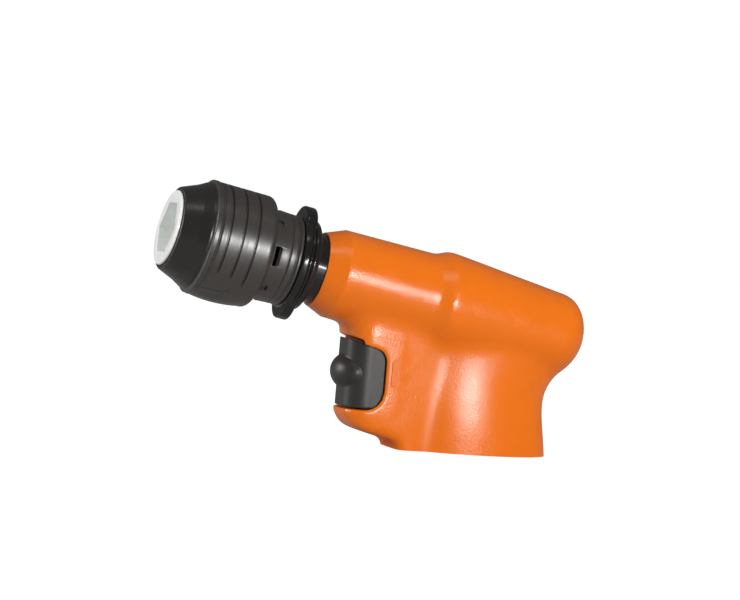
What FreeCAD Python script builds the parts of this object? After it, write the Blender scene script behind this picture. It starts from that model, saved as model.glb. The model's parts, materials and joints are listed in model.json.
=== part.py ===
import FreeCAD, Part

import math
import os

os.makedirs("parts", exist_ok=True)

V = FreeCAD.Vector

# Bone access drill, in millimetres. The foot of the handle stands on z = 0 with its
# middle at the origin, +X points to the working end and +Y is the left side.
# The spindle leans back, so its pieces are made along X about their own axis
# and are then tilted into place.

# Spindle line
spindle_height = 56.5
spindle_tilt = 10.8

# Fits between pieces
slide_gap = 0.3
running_fit = 0.08
seat_gap = 0.05

# Driver body, radii and stations along the spindle line
wall = 2.2
cap_end = -46.0
cap_flat_radius = 9.5
cap_start = -38.5
cap_radius = 17.05
cap_rounding = 12.0
shoulder_rounding = 9.0
seam_turn = 25.0
shoulder_radius = 21.4
shoulder_rear = 19.1
shoulder_front = 25.9
barrel_rear_radius = 18.8
barrel_front_radius = 18.1
cone_rear = 64.6
cone_rounding = 3.0
barrel_front = 72.0
neck_radius = 14.2
neck_lip = 1.1

# Handle, plan sizes at the foot
handle_middle = -1.35
handle_half_length = 33.05
handle_half_width = 17.0
handle_top = 52.0
handle_back = [(0.0, 0.0), (12.0, 1.9), (22.0, 3.2), (29.0, 1.6), (36.0, -3.0), (43.0, -5.0), (handle_top, -5.0)]
handle_narrowing = 1.5

# Trigger housing
web_half_width = 12.5
frame_half_width = 14.2
frame_rear = 35.0
frame_bottom = 12.5
frame_top = 47.5
nose_front = 56.5
nose_corner = 9.0
nose_top = 60.0
trigger_rear_edge = 41.0
trigger_opening_bottom = 15.5
trigger_opening_top = 43.6
trigger_corner = 5.0
side_wall = 2.0

# Trigger and its switch
trigger_gap = 0.4
trigger_travel = 3.5
trigger_wall = 2.4
dome_height = 2.9
dome_half_chord = 7.0
dome_z = 30.0
switch_rear = 24.6
switch_front = 34.0
switch_bottom = 20.5
switch_top = 38.0
plunger_radius = 2.0
trigger_spring_radius = 3.3
trigger_spring_wire = 0.5
trigger_spring_turns = 5

# Indicator lens
lens_width = 3.4
lens_height = 10.8
lens_depth = 1.6
lens_x = 37.9
lens_z = 30.8
lens_proud = 0.3

# Case screws
screw_shank = 1.1
screw_head = 2.3
screw_head_height = 1.6
screw_length = 16.0
screw_seat = 9.5
lower_screw_x = 46.0
lower_screw_z = 11.2
upper_screw_x = 31.0
upper_screw_z = 42.2
boss_radius = 3.4
rear_screw_station = -32.7
rear_screw_offset = 8.0

# Foot plate and batteries
foot_plate_thickness = 2.6
gasket_thickness = 0.8
gasket_width = 2.1
foot_screw_side = 10.8
foot_boss_web = 2.0
foot_screw_length = 8.0
foot_boss_radius = 2.7
cell_radius = 7.8
cell_length = 26.4
cell_spacing = 16.2
cell_gap = 0.25
contact_thickness = 0.4
holder_height = 12.0
holder_floor = 0.8

# Motor, stations along the spindle line
motor_radius = 15.0
motor_rear = -18.0
motor_front = 18.0
motor_wall = 1.5
hoop_inset = 4.0
hoop_width = 2.0
motor_end_cap_length = 4.0
magnet_thickness = 2.8
rotor_radius = 10.2
rotor_half_length = 11.0
board_thickness = 1.6
board_gap = 1.6
terminal_slot_place = 7.0
terminal_slot_height = 3.4
chip_thickness = 1.2
large_chip = 6.0
small_chip = 4.5
capacitor_radius = 2.0
capacitor_length = 3.2
motor_shaft_radius = 1.6

# Planetary gears, both stages alike
gear_module = 0.6
pressure_angle = 25.0
sun_teeth = 12
planet_teeth = 15
planet_count = 3
backlash = 0.12
gear_addendum = 0.54
gear_dedendum = 0.7
planet_pin_radius = 1.5
planet_width = 5.0
plate_thickness = 2.5
carrier_thickness = 2.5
output_carrier_thickness = 4.0
output_carrier_radius = 11.4
gear_side_gap = 0.5
front_plate_thickness = 3.0
thrust_washer_radius = 9.0

# Spindle and bearing
spindle_radius = 5.0
spindle_hex = 7.8
spindle_hex_start = 77.0
spindle_end = 104.0
bearing_rear = 66.0
bearing_width = 5.0
bearing_outer_radius = 9.5
bearing_ball_radius = 1.15
bearing_ball_count = 8
bearing_ring_wall = 1.4

# Neck sleeve, lock ring and collar
neck_flange_thickness = 3.0
neck_front = 91.0
collar_rear = 84.5
collar_length = 21.5
collar_shoulder = collar_rear + collar_length
sleeve_spring_length = 12.0
collar_tube_end = collar_shoulder + sleeve_spring_length
collar_rear_radius = 18.3
collar_radius = 19.2
collar_tube_radius = 17.5
window_station = collar_rear + 9.9
window_width = 2.8
window_length = 8.0
lock_ring_rear = 77.1
lock_ring_length = 7.0
lock_ring_radius = 18.7
lock_turn = 30.0
ear_reach = 23.2
ear_circle = 10.0
ear_thickness = 4.4
bayonet_pin_radius = 1.25
bayonet_pin_reach = 2.4
neck_seal_wire = 0.7

# Grip sleeve and core
sleeve_rear = collar_shoulder - 9.0
sleeve_radius = 22.9
sleeve_travel = 4.0
sleeve_bead_radius = 23.1
sleeve_bead_station = collar_tube_end + 3.6
nose_base_station = collar_tube_end + 5.9
nose_base_radius = 21.7
nose_kink_station = collar_tube_end + 9.7
nose_kink_radius = 19.6
nose_front_station = collar_tube_end + 16.6
nose_front_radius = 16.8
groove_spacing = 5.7
groove_stations = [collar_tube_end - 1.4 - count * groove_spacing for count in range(3)]
groove_width = 0.9
groove_depth = 0.7
pad_rise = 1.0
pad_half_angle = 32.0
pad_rear = sleeve_rear + 3.5
pad_front = collar_tube_end + 1.0
sleeve_spring_wire = 1.1
sleeve_spring_turns = 4
core_end = nose_front_station + 1.3
core_rim_radius = 15.2
core_rim_length = 1.0
core_body_radius = 14.3
core_journal_radius = 11.0
core_tail_radius = 8.0
core_tail_rear = neck_front + 1.0
core_journal_rear = collar_shoulder - 1.5
hub_hex = 20.0
hub_hex_depth = 14.0
pilot_radius = 5.0
pilot_length = 13.9
rim_bevel = 0.35
latch_station = collar_tube_end + 6.0
latch_pin_radius = 1.5
latch_pin_travel = 1.2
latch_pin_nose = 0.9


def corner_arc(before, corner, after, radius):
    """Start, middle and end of the arc that rounds a corner."""
    to_before = (before - corner).normalize()
    to_after = (after - corner).normalize()
    half = to_before.getAngle(to_after) / 2.0
    reach = radius / math.tan(half)
    bisector = (to_before + to_after).normalize()
    middle = corner + bisector * (radius / math.sin(half) - radius)
    return corner + to_before * reach, middle, corner + to_after * reach


def outline(points, place):
    """Closed wire through points, each (a, b) or (a, b, corner radius)."""
    corners = [place(point[0], point[1]) for point in points]
    edges = []
    start = None
    first = None
    for index, point in enumerate(points):
        corner = corners[index]
        if len(point) == 3:
            before = corners[index - 1]
            after = corners[(index + 1) % len(corners)]
            arc_start, arc_middle, arc_end = corner_arc(before, corner, after, point[2])
            if start is not None:
                edges.append(Part.LineSegment(start, arc_start).toShape())
            edges.append(Part.Arc(arc_start, arc_middle, arc_end).toShape())
            first = first or arc_start
            start = arc_end
        else:
            if start is not None:
                edges.append(Part.LineSegment(start, corner).toShape())
            first = first or corner
            start = corner
    edges.append(Part.LineSegment(start, first).toShape())
    return Part.Wire(edges)


def lathe(points):
    """Solid turned about X from (x, radius) points."""
    face = Part.Face(outline(points, lambda x, radius: V(x, 0, radius)))
    return face.revolve(V(0, 0, 0), V(1, 0, 0), 360)


def side_prism(points, half_width):
    """Side outline of (x, z) points, as wide as twice half_width."""
    face = Part.Face(outline(points, lambda x, z: V(x, -half_width, z)))
    return face.extrude(V(0, 2 * half_width, 0))


def plan_prism(points, bottom, top):
    """Plan outline of (x, y) points between two heights."""
    face = Part.Face(outline(points, lambda x, y: V(x, y, bottom)))
    return face.extrude(V(0, 0, top - bottom))


def rod(rear, front, radius):
    """Round bar along X."""
    return Part.makeCylinder(radius, front - rear, V(rear, 0, 0), V(1, 0, 0))


def tube(rear, front, outer, inner):
    """Round tube along X."""
    return rod(rear, front, outer).cut(rod(rear, front, inner))


def hexagon(rear, front, across_flats):
    """Six-sided bar along X, with a flat on top."""
    corner_radius = across_flats / math.sqrt(3)
    corners = []
    for side in range(6):
        angle = math.radians(60 * side)
        corners.append(V(rear, corner_radius * math.cos(angle), corner_radius * math.sin(angle)))
    face = Part.Face(Part.makePolygon(corners + corners[:1]))
    return face.extrude(V(front - rear, 0, 0))


def turned(shape, angle):
    """Copy turned about X by an angle in degrees."""
    copy = shape.copy()
    copy.rotate(V(0, 0, 0), V(1, 0, 0), angle)
    return copy


def moved(shape, x=0.0, y=0.0, z=0.0):
    """Copy moved by the given amounts."""
    copy = shape.copy()
    copy.translate(V(x, y, z))
    return copy


def tilted(shape):
    """Copy of a spindle piece, put on the leaning spindle line."""
    copy = shape.copy()
    copy.rotate(V(0, 0, 0), V(0, 1, 0), -spindle_tilt)
    copy.translate(V(0, 0, spindle_height))
    return copy


def keep(name, shape):
    """Write one named piece."""
    shape.exportStep("parts/" + name + ".step")


def keep_on_spindle(name, shape):
    """Write one named piece that sits on the spindle line."""
    keep(name, tilted(shape))


def coil(rear, front, radius, wire, turns):
    """Helical spring along X with its wire inside the two stations."""
    height = front - rear - wire
    helix = Part.makeHelix(height / turns, height, radius)
    circle = Part.Circle(V(radius, 0, 0), V(0, 1, 0), wire / 2)
    section = Part.Wire(circle.toShape())
    spring = Part.Wire(helix.Edges).makePipeShell([section], True, True)
    spring.rotate(V(0, 0, 0), V(0, 1, 0), 90)
    return moved(spring, x=rear + wire / 2)


# Driver body


def body_radius(station):
    """Outside radius of the turned body at a station."""
    if station < shoulder_rear:
        share = (station - cap_start) / (shoulder_rear - cap_start)
        return cap_radius + share * (shoulder_radius - cap_radius)
    share = (station - shoulder_front) / (cone_rear - shoulder_front)
    return barrel_rear_radius + share * (barrel_front_radius - barrel_rear_radius)


def turned_body(inset, front_points):
    """Rear cap, shoulder and barrel, drawn inset, ending in the front points."""
    return turned(lathe([
        (cap_end + inset, 0.0),
        (cap_end + inset, cap_flat_radius - inset * 0.4, cap_rounding - inset),
        (cap_start + inset * 0.4, cap_radius - inset, cap_rounding - inset),
        (shoulder_rear, shoulder_radius - inset, shoulder_rounding),
        (shoulder_front, barrel_rear_radius - inset, shoulder_rounding),
    ] + front_points + [(front_points[-1][0], 0.0)]), seam_turn)


def handle(inset):
    """Oval grip, drawn inset from the outside."""
    sections = []
    for height, draw_in in handle_back:
        half_length = handle_half_length - draw_in / 2 - inset
        middle = handle_middle + draw_in / 2
        half_width = handle_half_width - handle_narrowing * (height / handle_top) ** 3 - inset
        oval = Part.Ellipse(V(middle, 0, height), half_length, half_width)
        sections.append(Part.Wire(oval.toShape()))
    return Part.makeLoft(sections, True, False)


def nose_plan(half_width, inset):
    """Plan outline of the trigger housing with its rounded front."""
    front = nose_front - inset
    corner = nose_corner - inset
    return [
        (0.0, -half_width),
        (front, -half_width, corner),
        (front, half_width, corner),
        (0.0, half_width),
    ]


def nose_side(inset):
    """Side outline of the trigger housing, with its rising underside."""
    return [
        (0.0, inset),
        (handle_middle + handle_half_length, inset + 2.6),
        (49.3, inset + 6.6),
        (nose_front, inset + 8.6, 6.0),
        (nose_front, nose_top),
        (0.0, nose_top),
    ]


def nose_block():
    """Trigger housing: web, raised frame and rounded front."""
    web = side_prism(nose_side(0.0), web_half_width)
    frame = side_prism(
        [
            (frame_rear, frame_bottom, 4.0),
            (nose_front, frame_bottom),
            (nose_front, frame_top),
            (frame_rear, frame_top, 4.0),
        ],
        frame_half_width,
    )
    web = web.common(plan_prism(nose_plan(web_half_width, 0.0), 0.0, nose_top))
    frame = frame.common(plan_prism(nose_plan(frame_half_width, 0.0), 0.0, nose_top))
    return web.fuse(frame)


def trigger_opening(half_width, gap, rear, front):
    """Opening for the trigger, seen from the side."""
    bottom = trigger_opening_bottom + gap
    top = trigger_opening_top - gap
    corner = trigger_corner - gap
    return side_prism([(rear, bottom, corner), (front, bottom), (front, top), (rear, top, corner)], half_width)


def pocket_rear():
    """Rearmost place of the trigger's broad part when pressed."""
    return trigger_rear_edge - trigger_gap - trigger_travel - slide_gap


def case_screw_places():
    """Middle of each case screw in side view."""
    lean = math.radians(spindle_tilt)
    places = [(lower_screw_x, lower_screw_z), (upper_screw_x, upper_screw_z)]
    for offset in (-rear_screw_offset, rear_screw_offset):
        x = rear_screw_station * math.cos(lean) - offset * math.sin(lean)
        z = spindle_height + rear_screw_station * math.sin(lean) + offset * math.cos(lean)
        places.append((x, z))
    return places


def across(x, z, start, end, radius):
    """Round bar along Y."""
    return Part.makeCylinder(radius, end - start, V(x, start, z), V(0, 1, 0))


def foot_screw_places():
    """Plan place of each foot screw."""
    places = []
    for end in (-1, 1):
        for side in (-1, 1):
            places.append((handle_middle + end * cell_spacing / 2, side * foot_screw_side))
    return places


def foot_screw_seat():
    """Height on which the foot screws' heads bear."""
    return screw_head_height + 0.3


def foot_top():
    """Height of the top of the foot gasket."""
    return foot_plate_thickness + gasket_thickness


def body_outside():
    """Whole outside of the driver body."""
    cone = [
        (cone_rear, barrel_front_radius, cone_rounding),
        (barrel_front, neck_radius + seat_gap + neck_lip),
    ]
    shell = tilted(turned_body(0.0, cone))
    return shell.fuse([handle(0.0), nose_block()])


def body_hollow():
    """Hollow of the driver body."""
    barrel = tilted(turned_body(wall, [(cone_rear - wall, barrel_front_radius - wall)]))
    web = side_prism(nose_side(wall), web_half_width - wall)
    web = web.common(plan_prism([
        (0.0, -web_half_width), (pocket_rear(), -web_half_width),
        (pocket_rear(), web_half_width), (0.0, web_half_width),
    ], 0.0, nose_top))
    neck_hole = tilted(rod(0.0, barrel_front + wall, neck_radius + seat_gap))
    return barrel.fuse([handle(wall), web, neck_hole])


def bulkheads():
    """Hoops that carry the motor and the gearbox."""
    hoops = []
    motor_hoops = [motor_rear + hoop_inset, motor_front - hoop_inset - hoop_width]
    gearbox_hoops = [shoulder_front - hoop_width, gearbox_front() - hoop_inset - hoop_width]
    for station in motor_hoops + gearbox_hoops:
        outer = body_radius(station) - wall / 2
        rear = station - hoop_width / 2
        hoops.append(tilted(tube(rear, rear + hoop_width, outer, motor_radius + seat_gap)))
    return hoops


def case_bosses():
    """Screw bosses of both halves, before the halves are parted."""
    bosses = []
    for x, z in case_screw_places():
        bosses.append(across(x, z, -shoulder_radius, shoulder_radius, boss_radius))
    for x, y in foot_screw_places():
        bosses.append(Part.makeCylinder(foot_boss_radius, foot_screw_length, V(x, y, foot_top())))
        reach = handle_half_width - wall / 2 - abs(y)
        web_start = y if y > 0 else y - reach
        corner = V(x - foot_boss_web / 2, web_start, foot_top())
        bosses.append(Part.makeBox(foot_boss_web, reach, foot_screw_length, corner))
    return bosses


def screw_holes():
    """Holes for the case screws and the foot screws."""
    holes = []
    shank = screw_shank + seat_gap
    for x, z in case_screw_places():
        holes.append(across(x, z, -screw_seat, screw_length - screw_seat + 0.5, shank))
        holes.append(across(x, z, -shoulder_radius, -screw_seat, screw_head + 0.2))
    for x, y in foot_screw_places():
        holes.append(Part.makeCylinder(shank, foot_screw_seat() + foot_screw_length + 0.5, V(x, y, 0)))
    return holes


def lens_shape(gap):
    """Rounded slot of the lens, standing on the left side."""
    half_width = lens_width / 2 + gap
    half_height = lens_height / 2 + gap
    points = [
        (lens_x - half_width, lens_z - half_height, half_width * 0.9),
        (lens_x + half_width, lens_z - half_height, half_width * 0.9),
        (lens_x + half_width, lens_z + half_height, half_width * 0.9),
        (lens_x - half_width, lens_z + half_height, half_width * 0.9),
    ]
    face = Part.Face(outline(points, lambda x, z: V(x, frame_half_width + lens_proud - lens_depth - gap, z)))
    return face.extrude(V(0, lens_depth + gap, 0))


def make_housing():
    """Both halves of the driver body, parted on the middle plane."""
    outside = body_outside()
    shell = outside.cut(body_hollow())
    supports = bulkheads()[0].fuse(bulkheads()[1:] + case_bosses()).common(outside)
    motor_room = tilted(rod(motor_rear - 8.0, motor_front + 30.0, motor_radius + seat_gap))
    shell = shell.fuse(supports.cut(motor_room))
    reach = nose_front + 10.0
    shell = shell.cut(trigger_opening(frame_half_width + 1.0, 0.0, trigger_rear_edge, reach))
    shell = shell.cut(trigger_opening(frame_half_width - side_wall, 0.0, pocket_rear(), reach))
    shell = shell.cut(screw_holes() + [lens_shape(seat_gap)])
    size = 200.0
    left_space = Part.makeBox(2 * size, size, 2 * size, V(-size, 0, -size))
    right_space = Part.makeBox(2 * size, size, 2 * size, V(-size, -size, -size))
    keep("housing_left", shell.common(left_space))
    keep("housing_right", shell.common(right_space))
    keep("indicator_lens", lens_shape(0.0))


def socket_screw(length):
    """Screw along +Z with its head below z = 0, and a six-sided recess."""
    head = Part.makeCylinder(screw_head, screw_head_height, V(0, 0, -screw_head_height))
    screw = head.fuse(Part.makeCylinder(screw_shank, length))
    recess = hexagon(-screw_head_height, -screw_head_height / 3, screw_head)
    recess.rotate(V(0, 0, 0), V(0, 1, 0), -90)
    return screw.cut(recess)


def make_case_screws():
    """Four screws from the right side."""
    screws = []
    for x, z in case_screw_places():
        screw = socket_screw(screw_length)
        screw.rotate(V(0, 0, 0), V(1, 0, 0), -90)
        screws.append(moved(screw, x=x, y=-screw_seat, z=z))
    keep("case_screws", Part.makeCompound(screws))


def handle_slice(bottom, thickness, inset):
    """Slice of the handle's shape, drawn inset."""
    reach = handle_half_length + abs(handle_middle)
    slab = Part.makeBox(2 * reach, 2 * reach, thickness, V(-reach, -reach, bottom))
    return handle(inset).common(slab)


def make_foot():
    """Foot plate, gasket and their screws."""
    edge = wall + 0.2
    plate = handle_slice(0.0, foot_plate_thickness, edge)
    gasket = handle_slice(foot_plate_thickness, gasket_thickness, edge)
    gasket = gasket.cut(handle_slice(foot_plate_thickness, gasket_thickness, edge + gasket_width))
    screws = []
    seat = foot_screw_seat()
    for x, y in foot_screw_places():
        hole = Part.makeCylinder(screw_shank + seat_gap, foot_top(), V(x, y, 0))
        head_room = Part.makeCylinder(screw_head + 0.2, seat, V(x, y, 0))
        plate = plate.cut([hole, head_room])
        gasket = gasket.cut(hole)
        screws.append(moved(socket_screw(foot_screw_length), x=x, y=y, z=seat))
    keep("foot_plate", plate)
    keep("foot_gasket", gasket)
    keep("foot_screws", Part.makeCompound(screws))


def cell_places():
    """Place of each cell along the handle."""
    return [handle_middle + (index - 1) * cell_spacing for index in range(3)]


def make_batteries():
    """Cells, their holder and contacts."""
    holder = handle_slice(foot_top(), holder_height, wall + slide_gap)
    cell_bottom = foot_top() + holder_floor + contact_thickness
    cells = []
    contacts = []
    for x in cell_places():
        room = Part.makeCylinder(cell_radius + cell_gap, holder_height, V(x, 0, foot_top() + holder_floor))
        holder = holder.cut(room)
        cell = Part.makeCylinder(cell_radius, cell_length, V(x, 0, cell_bottom))
        cap = Part.makeCylinder(2.6, 0.6, V(x, 0, cell_bottom + cell_length))
        cells.append(cell.fuse(cap))
        contacts.append(Part.makeCylinder(5.0, contact_thickness, V(x, 0, foot_top() + holder_floor)))
    for x, y in foot_screw_places():
        holder = holder.cut(Part.makeCylinder(foot_boss_radius + slide_gap, holder_height, V(x, y, foot_top())))
        half_slot = foot_boss_web / 2 + slide_gap
        slot_start = 0.0 if y > 0 else -handle_half_width
        corner = V(x - half_slot, y + slot_start, foot_top())
        holder = holder.cut(Part.makeBox(2 * half_slot, handle_half_width, holder_height, corner))
    bar_length = 2 * cell_spacing + 10.0
    bar_bottom = cell_bottom + cell_length + 0.6
    contacts.append(Part.makeBox(bar_length, 5.0, 0.5, V(handle_middle - bar_length / 2, -2.5, bar_bottom)))
    keep("battery_cells", Part.makeCompound(cells))
    keep("battery_holder", holder)
    keep("battery_contacts", Part.makeCompound(contacts))


def make_trigger():
    """Trigger with its dome and hollow back."""
    rear = trigger_rear_edge - trigger_gap
    half_width = frame_half_width - side_wall - slide_gap
    body = trigger_opening(half_width, trigger_gap, rear, nose_front)
    body = body.common(plan_prism(nose_plan(half_width, 0.0), 0.0, nose_top))
    dome_radius = (dome_half_chord ** 2 + dome_height ** 2) / (2 * dome_height)
    body = body.fuse(Part.makeSphere(dome_radius, V(nose_front + dome_height - dome_radius, 0, dome_z)))
    inner_bottom = trigger_opening_bottom + trigger_gap + trigger_wall
    inner_top = trigger_opening_top - trigger_gap - trigger_wall
    hollow = Part.makeBox(
        nose_front - trigger_wall - 3.0 - rear,
        2 * (half_width - trigger_wall),
        inner_top - inner_bottom,
        V(rear, -(half_width - trigger_wall), inner_bottom),
    )
    post_radius = trigger_spring_radius + 1.2
    hollow = hollow.cut(Part.makeCylinder(post_radius, nose_front - rear, V(rear, 0, dome_z), V(1, 0, 0)))
    keep("trigger", body.cut(hollow).common(rear_limit(rear)))


def rear_limit(rear):
    """Space in front of a station."""
    size = 100.0
    return Part.makeBox(size, 2 * size, 2 * size, V(rear, -size, -size))


def make_switch():
    """Switch body, plunger and trigger spring."""
    half_width = web_half_width - wall - slide_gap
    body = side_prism(
        [
            (switch_rear, switch_bottom, 1.0),
            (switch_front, switch_bottom, 1.0),
            (switch_front, switch_top, 1.0),
            (switch_rear, switch_top, 1.0),
        ],
        half_width,
    )
    rear = trigger_rear_edge - trigger_gap
    depth = trigger_travel + 3.0
    bore = Part.makeCylinder(plunger_radius + slide_gap, depth, V(switch_front - depth, 0, dome_z), V(1, 0, 0))
    plunger_rear = switch_front - 2.5
    plunger = Part.makeCylinder(plunger_radius, rear - plunger_rear, V(plunger_rear, 0, dome_z), V(1, 0, 0))
    spring = coil(switch_front, rear, trigger_spring_radius, trigger_spring_wire, trigger_spring_turns)
    keep("switch_body", body.cut(bore))
    keep("switch_plunger", plunger)
    keep("trigger_spring", moved(spring, z=dome_z))


# Motor


def make_motor():
    """Motor can, magnets, end cap, terminals, rotor and screws."""
    can = tube(motor_rear, motor_front, motor_radius, motor_radius - motor_wall)
    nose = tube(motor_front - 2.0, motor_front, motor_radius - motor_wall, motor_shaft_radius + running_fit)
    can = can.fuse(nose)
    screws = []
    screw_circle = 9.0
    plate_seat = motor_front + plate_thickness - screw_head_height - 0.2
    for turn in (60.0, 240.0):
        hole = turned(moved(rod(motor_front - 2.0, motor_front, screw_shank + seat_gap), z=screw_circle), turn)
        can = can.cut(hole)
        screw = socket_screw(3.0)
        screw.rotate(V(0, 0, 0), V(0, 1, 0), -90)
        screws.append(turned(moved(screw, x=plate_seat, z=screw_circle), turn))
    keep_on_spindle("motor_can", can)
    keep_on_spindle("motor_screws", Part.makeCompound(screws))
    magnet_outer = motor_radius - motor_wall - seat_gap
    magnet_ring = tube(-rotor_half_length, rotor_half_length, magnet_outer, magnet_outer - magnet_thickness)
    gap_bar = Part.makeBox(2 * rotor_half_length, 2 * motor_radius, 7.0, V(-rotor_half_length, -motor_radius, -3.5))
    keep_on_spindle("motor_magnets", Part.makeCompound(magnet_ring.cut(gap_bar).Solids))
    cap_rear = motor_rear - motor_end_cap_length
    cap = tube(cap_rear, motor_rear, motor_radius - 0.4, motor_shaft_radius + running_fit)
    keep_on_spindle("motor_end_cap", cap)
    tabs = []
    for side in (-1, 1):
        tabs.append(Part.makeBox(4.0, 0.6, 3.0, V(cap_rear - 4.0, side * 7.0 - 0.3, -1.5)))
    keep_on_spindle("motor_terminals", Part.makeCompound(tabs))
    core = rod(-rotor_half_length, rotor_half_length, rotor_radius)
    for pole in range(5):
        slot = Part.makeBox(2 * rotor_half_length, 1.4, 5.0, V(-rotor_half_length, -0.7, rotor_radius - 4.5))
        core = core.cut(turned(slot, 72.0 * pole))
    commutator = tube(motor_rear + 1.5, -rotor_half_length, 4.0, motor_shaft_radius)
    core = core.cut(rod(-rotor_half_length, rotor_half_length, motor_shaft_radius)).fuse(commutator)
    keep_on_spindle("rotor_core", core)
    keep_on_spindle("motor_shaft", rod(cap_rear + 0.5, input_stage()[1], motor_shaft_radius))


def make_board():
    """Control board behind the motor, with its parts."""
    front = motor_rear - motor_end_cap_length - board_gap
    rear = front - board_thickness
    board = rod(rear, front, motor_radius - 1.0)
    for side in (-1, 1):
        corner = V(rear, side * terminal_slot_place - 0.5, -terminal_slot_height / 2)
        board = board.cut(Part.makeBox(board_thickness, 1.0, terminal_slot_height, corner))
    keep_on_spindle("control_board", board)
    chip_rear = rear - chip_thickness
    capacitor_rear = rear - capacitor_length
    chips = [
        Part.makeBox(chip_thickness, large_chip, large_chip, V(chip_rear, -large_chip / 2, capacitor_radius)),
        Part.makeBox(chip_thickness, small_chip, small_chip, V(chip_rear, -2 * small_chip, -large_chip - chip_thickness)),
        Part.makeCylinder(capacitor_radius, capacitor_length,
                          V(capacitor_rear, 2 * capacitor_radius, -large_chip), V(1, 0, 0)),
    ]
    keep_on_spindle("board_parts", Part.makeCompound(chips))


# Gearbox


def pitch_radius(teeth):
    """Radius of the pitch circle."""
    return gear_module * teeth / 2


def ring_teeth():
    """Teeth of the ring gear that suits the sun and planets."""
    return sun_teeth + 2 * planet_teeth


def planet_circle():
    """Radius on which the planets run."""
    return pitch_radius(sun_teeth) + pitch_radius(planet_teeth)


def tooth_half_angle(teeth, radius, widen):
    """Half the angle that an involute tooth spans at a radius."""
    alpha = math.radians(pressure_angle)
    base = pitch_radius(teeth) * math.cos(alpha)
    here = math.acos(min(1.0, base / radius))
    rolled = math.tan(alpha) - alpha - math.tan(here) + here
    return math.pi / (2 * teeth) + rolled + widen / (2 * pitch_radius(teeth))


def toothed(teeth, tip, root, rear, front, widen, phase):
    """Toothed bar along X with one tooth at the phase angle."""
    levels = [root, pitch_radius(teeth), tip]
    corners = []
    for tooth in range(teeth):
        middle = phase + 2 * math.pi * tooth / teeth
        for side in (-1, 1):
            for radius in levels[::-side]:
                angle = middle + side * tooth_half_angle(teeth, radius, widen)
                corners.append(V(rear, radius * math.cos(angle), radius * math.sin(angle)))
    face = Part.Face(Part.makePolygon(corners + corners[:1]))
    return face.extrude(V(front - rear, 0, 0))


def small_gear(teeth, rear, front, phase, bore):
    """Outside gear with a bore."""
    pitch = pitch_radius(teeth)
    gear = toothed(teeth, pitch + gear_addendum, pitch - gear_dedendum, rear, front, -backlash, phase)
    return gear.cut(rod(rear, front, bore))


def planet_angle(index):
    """Place of a planet round the sun, in radians from +Y."""
    return 2 * math.pi * index / planet_count


def planet_phase(index):
    """Turn that meshes a planet with the sun and the ring."""
    total = planet_teeth + sun_teeth
    return (total * planet_angle(index) + (planet_teeth - 1) * math.pi) / planet_teeth


def on_circle(shape, radius, angle):
    """Copy moved out to a place on a circle about X."""
    return moved(shape, y=radius * math.cos(angle), z=radius * math.sin(angle))


def input_stage():
    """Stations of the first planet row."""
    rear = motor_front + plate_thickness + gear_side_gap
    return rear, rear + planet_width


def output_stage():
    """Stations of the second planet row."""
    rear = input_stage()[1] + 2 * gear_side_gap + carrier_thickness
    return rear, rear + planet_width + 1.0


def gearbox_front():
    """Station of the front end of the ring gear."""
    return output_stage()[1] + gear_side_gap + output_carrier_thickness + 2.6


def carrier_disc(rear, front, radius):
    """Planet carrier disc."""
    return rod(rear, front, radius)


def carrier_pins(rear, front):
    """Pins that carry the planets."""
    pins = []
    for index in range(planet_count):
        pins.append(on_circle(rod(rear, front, planet_pin_radius), planet_circle(), planet_angle(index)))
    return pins


def make_planets(name, stage):
    """Three planets of one stage."""
    for index in range(planet_count):
        gear = small_gear(planet_teeth, stage[0], stage[1], planet_phase(index), planet_pin_radius + running_fit)
        keep_on_spindle(f"{name}_{index + 1}", on_circle(gear, planet_circle(), planet_angle(index)))


def make_gearbox():
    """Two planetary stages between motor and spindle."""
    first = input_stage()
    second = output_stage()
    ring_pitch = pitch_radius(ring_teeth())
    teeth_space = toothed(
        ring_teeth(), ring_pitch + gear_dedendum, ring_pitch - gear_addendum + 0.04,
        motor_front + plate_thickness, gearbox_front(), backlash, 0.0,
    )
    ring = rod(motor_front + plate_thickness, gearbox_front(), motor_radius).cut(teeth_space)
    keep_on_spindle("ring_gear", ring)
    pinion = small_gear(sun_teeth, first[0], first[1], 0.0, motor_shaft_radius)
    keep_on_spindle("motor_pinion", pinion)
    make_planets("input_planet", first)
    make_planets("output_planet", second)
    disc_rear = first[1] + gear_side_gap
    disc_front = disc_rear + carrier_thickness
    input_carrier = carrier_disc(disc_rear, disc_front, output_carrier_radius)
    input_carrier = input_carrier.fuse(carrier_pins(first[0] + 0.2, disc_rear))
    sun_bore = motor_shaft_radius + slide_gap
    second_sun = small_gear(sun_teeth, disc_front, second[1], 0.0, sun_bore)
    input_carrier = input_carrier.cut(rod(disc_rear, disc_front, sun_bore)).fuse(second_sun)
    keep_on_spindle("input_carrier", input_carrier)
    out_rear = second[1] + gear_side_gap
    out_front = out_rear + output_carrier_thickness
    output_carrier = carrier_disc(out_rear, out_front, output_carrier_radius)
    output_carrier = output_carrier.fuse(carrier_pins(second[0] + 0.2, out_rear))
    output_carrier = output_carrier.cut(rod(out_rear, out_front, spindle_radius))
    keep_on_spindle("output_carrier", output_carrier)
    washer = tube(out_front + 0.2, gearbox_front() - 0.1, thrust_washer_radius, spindle_radius + slide_gap)
    keep_on_spindle("thrust_washer", washer)
    make_gearbox_plates()


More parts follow.
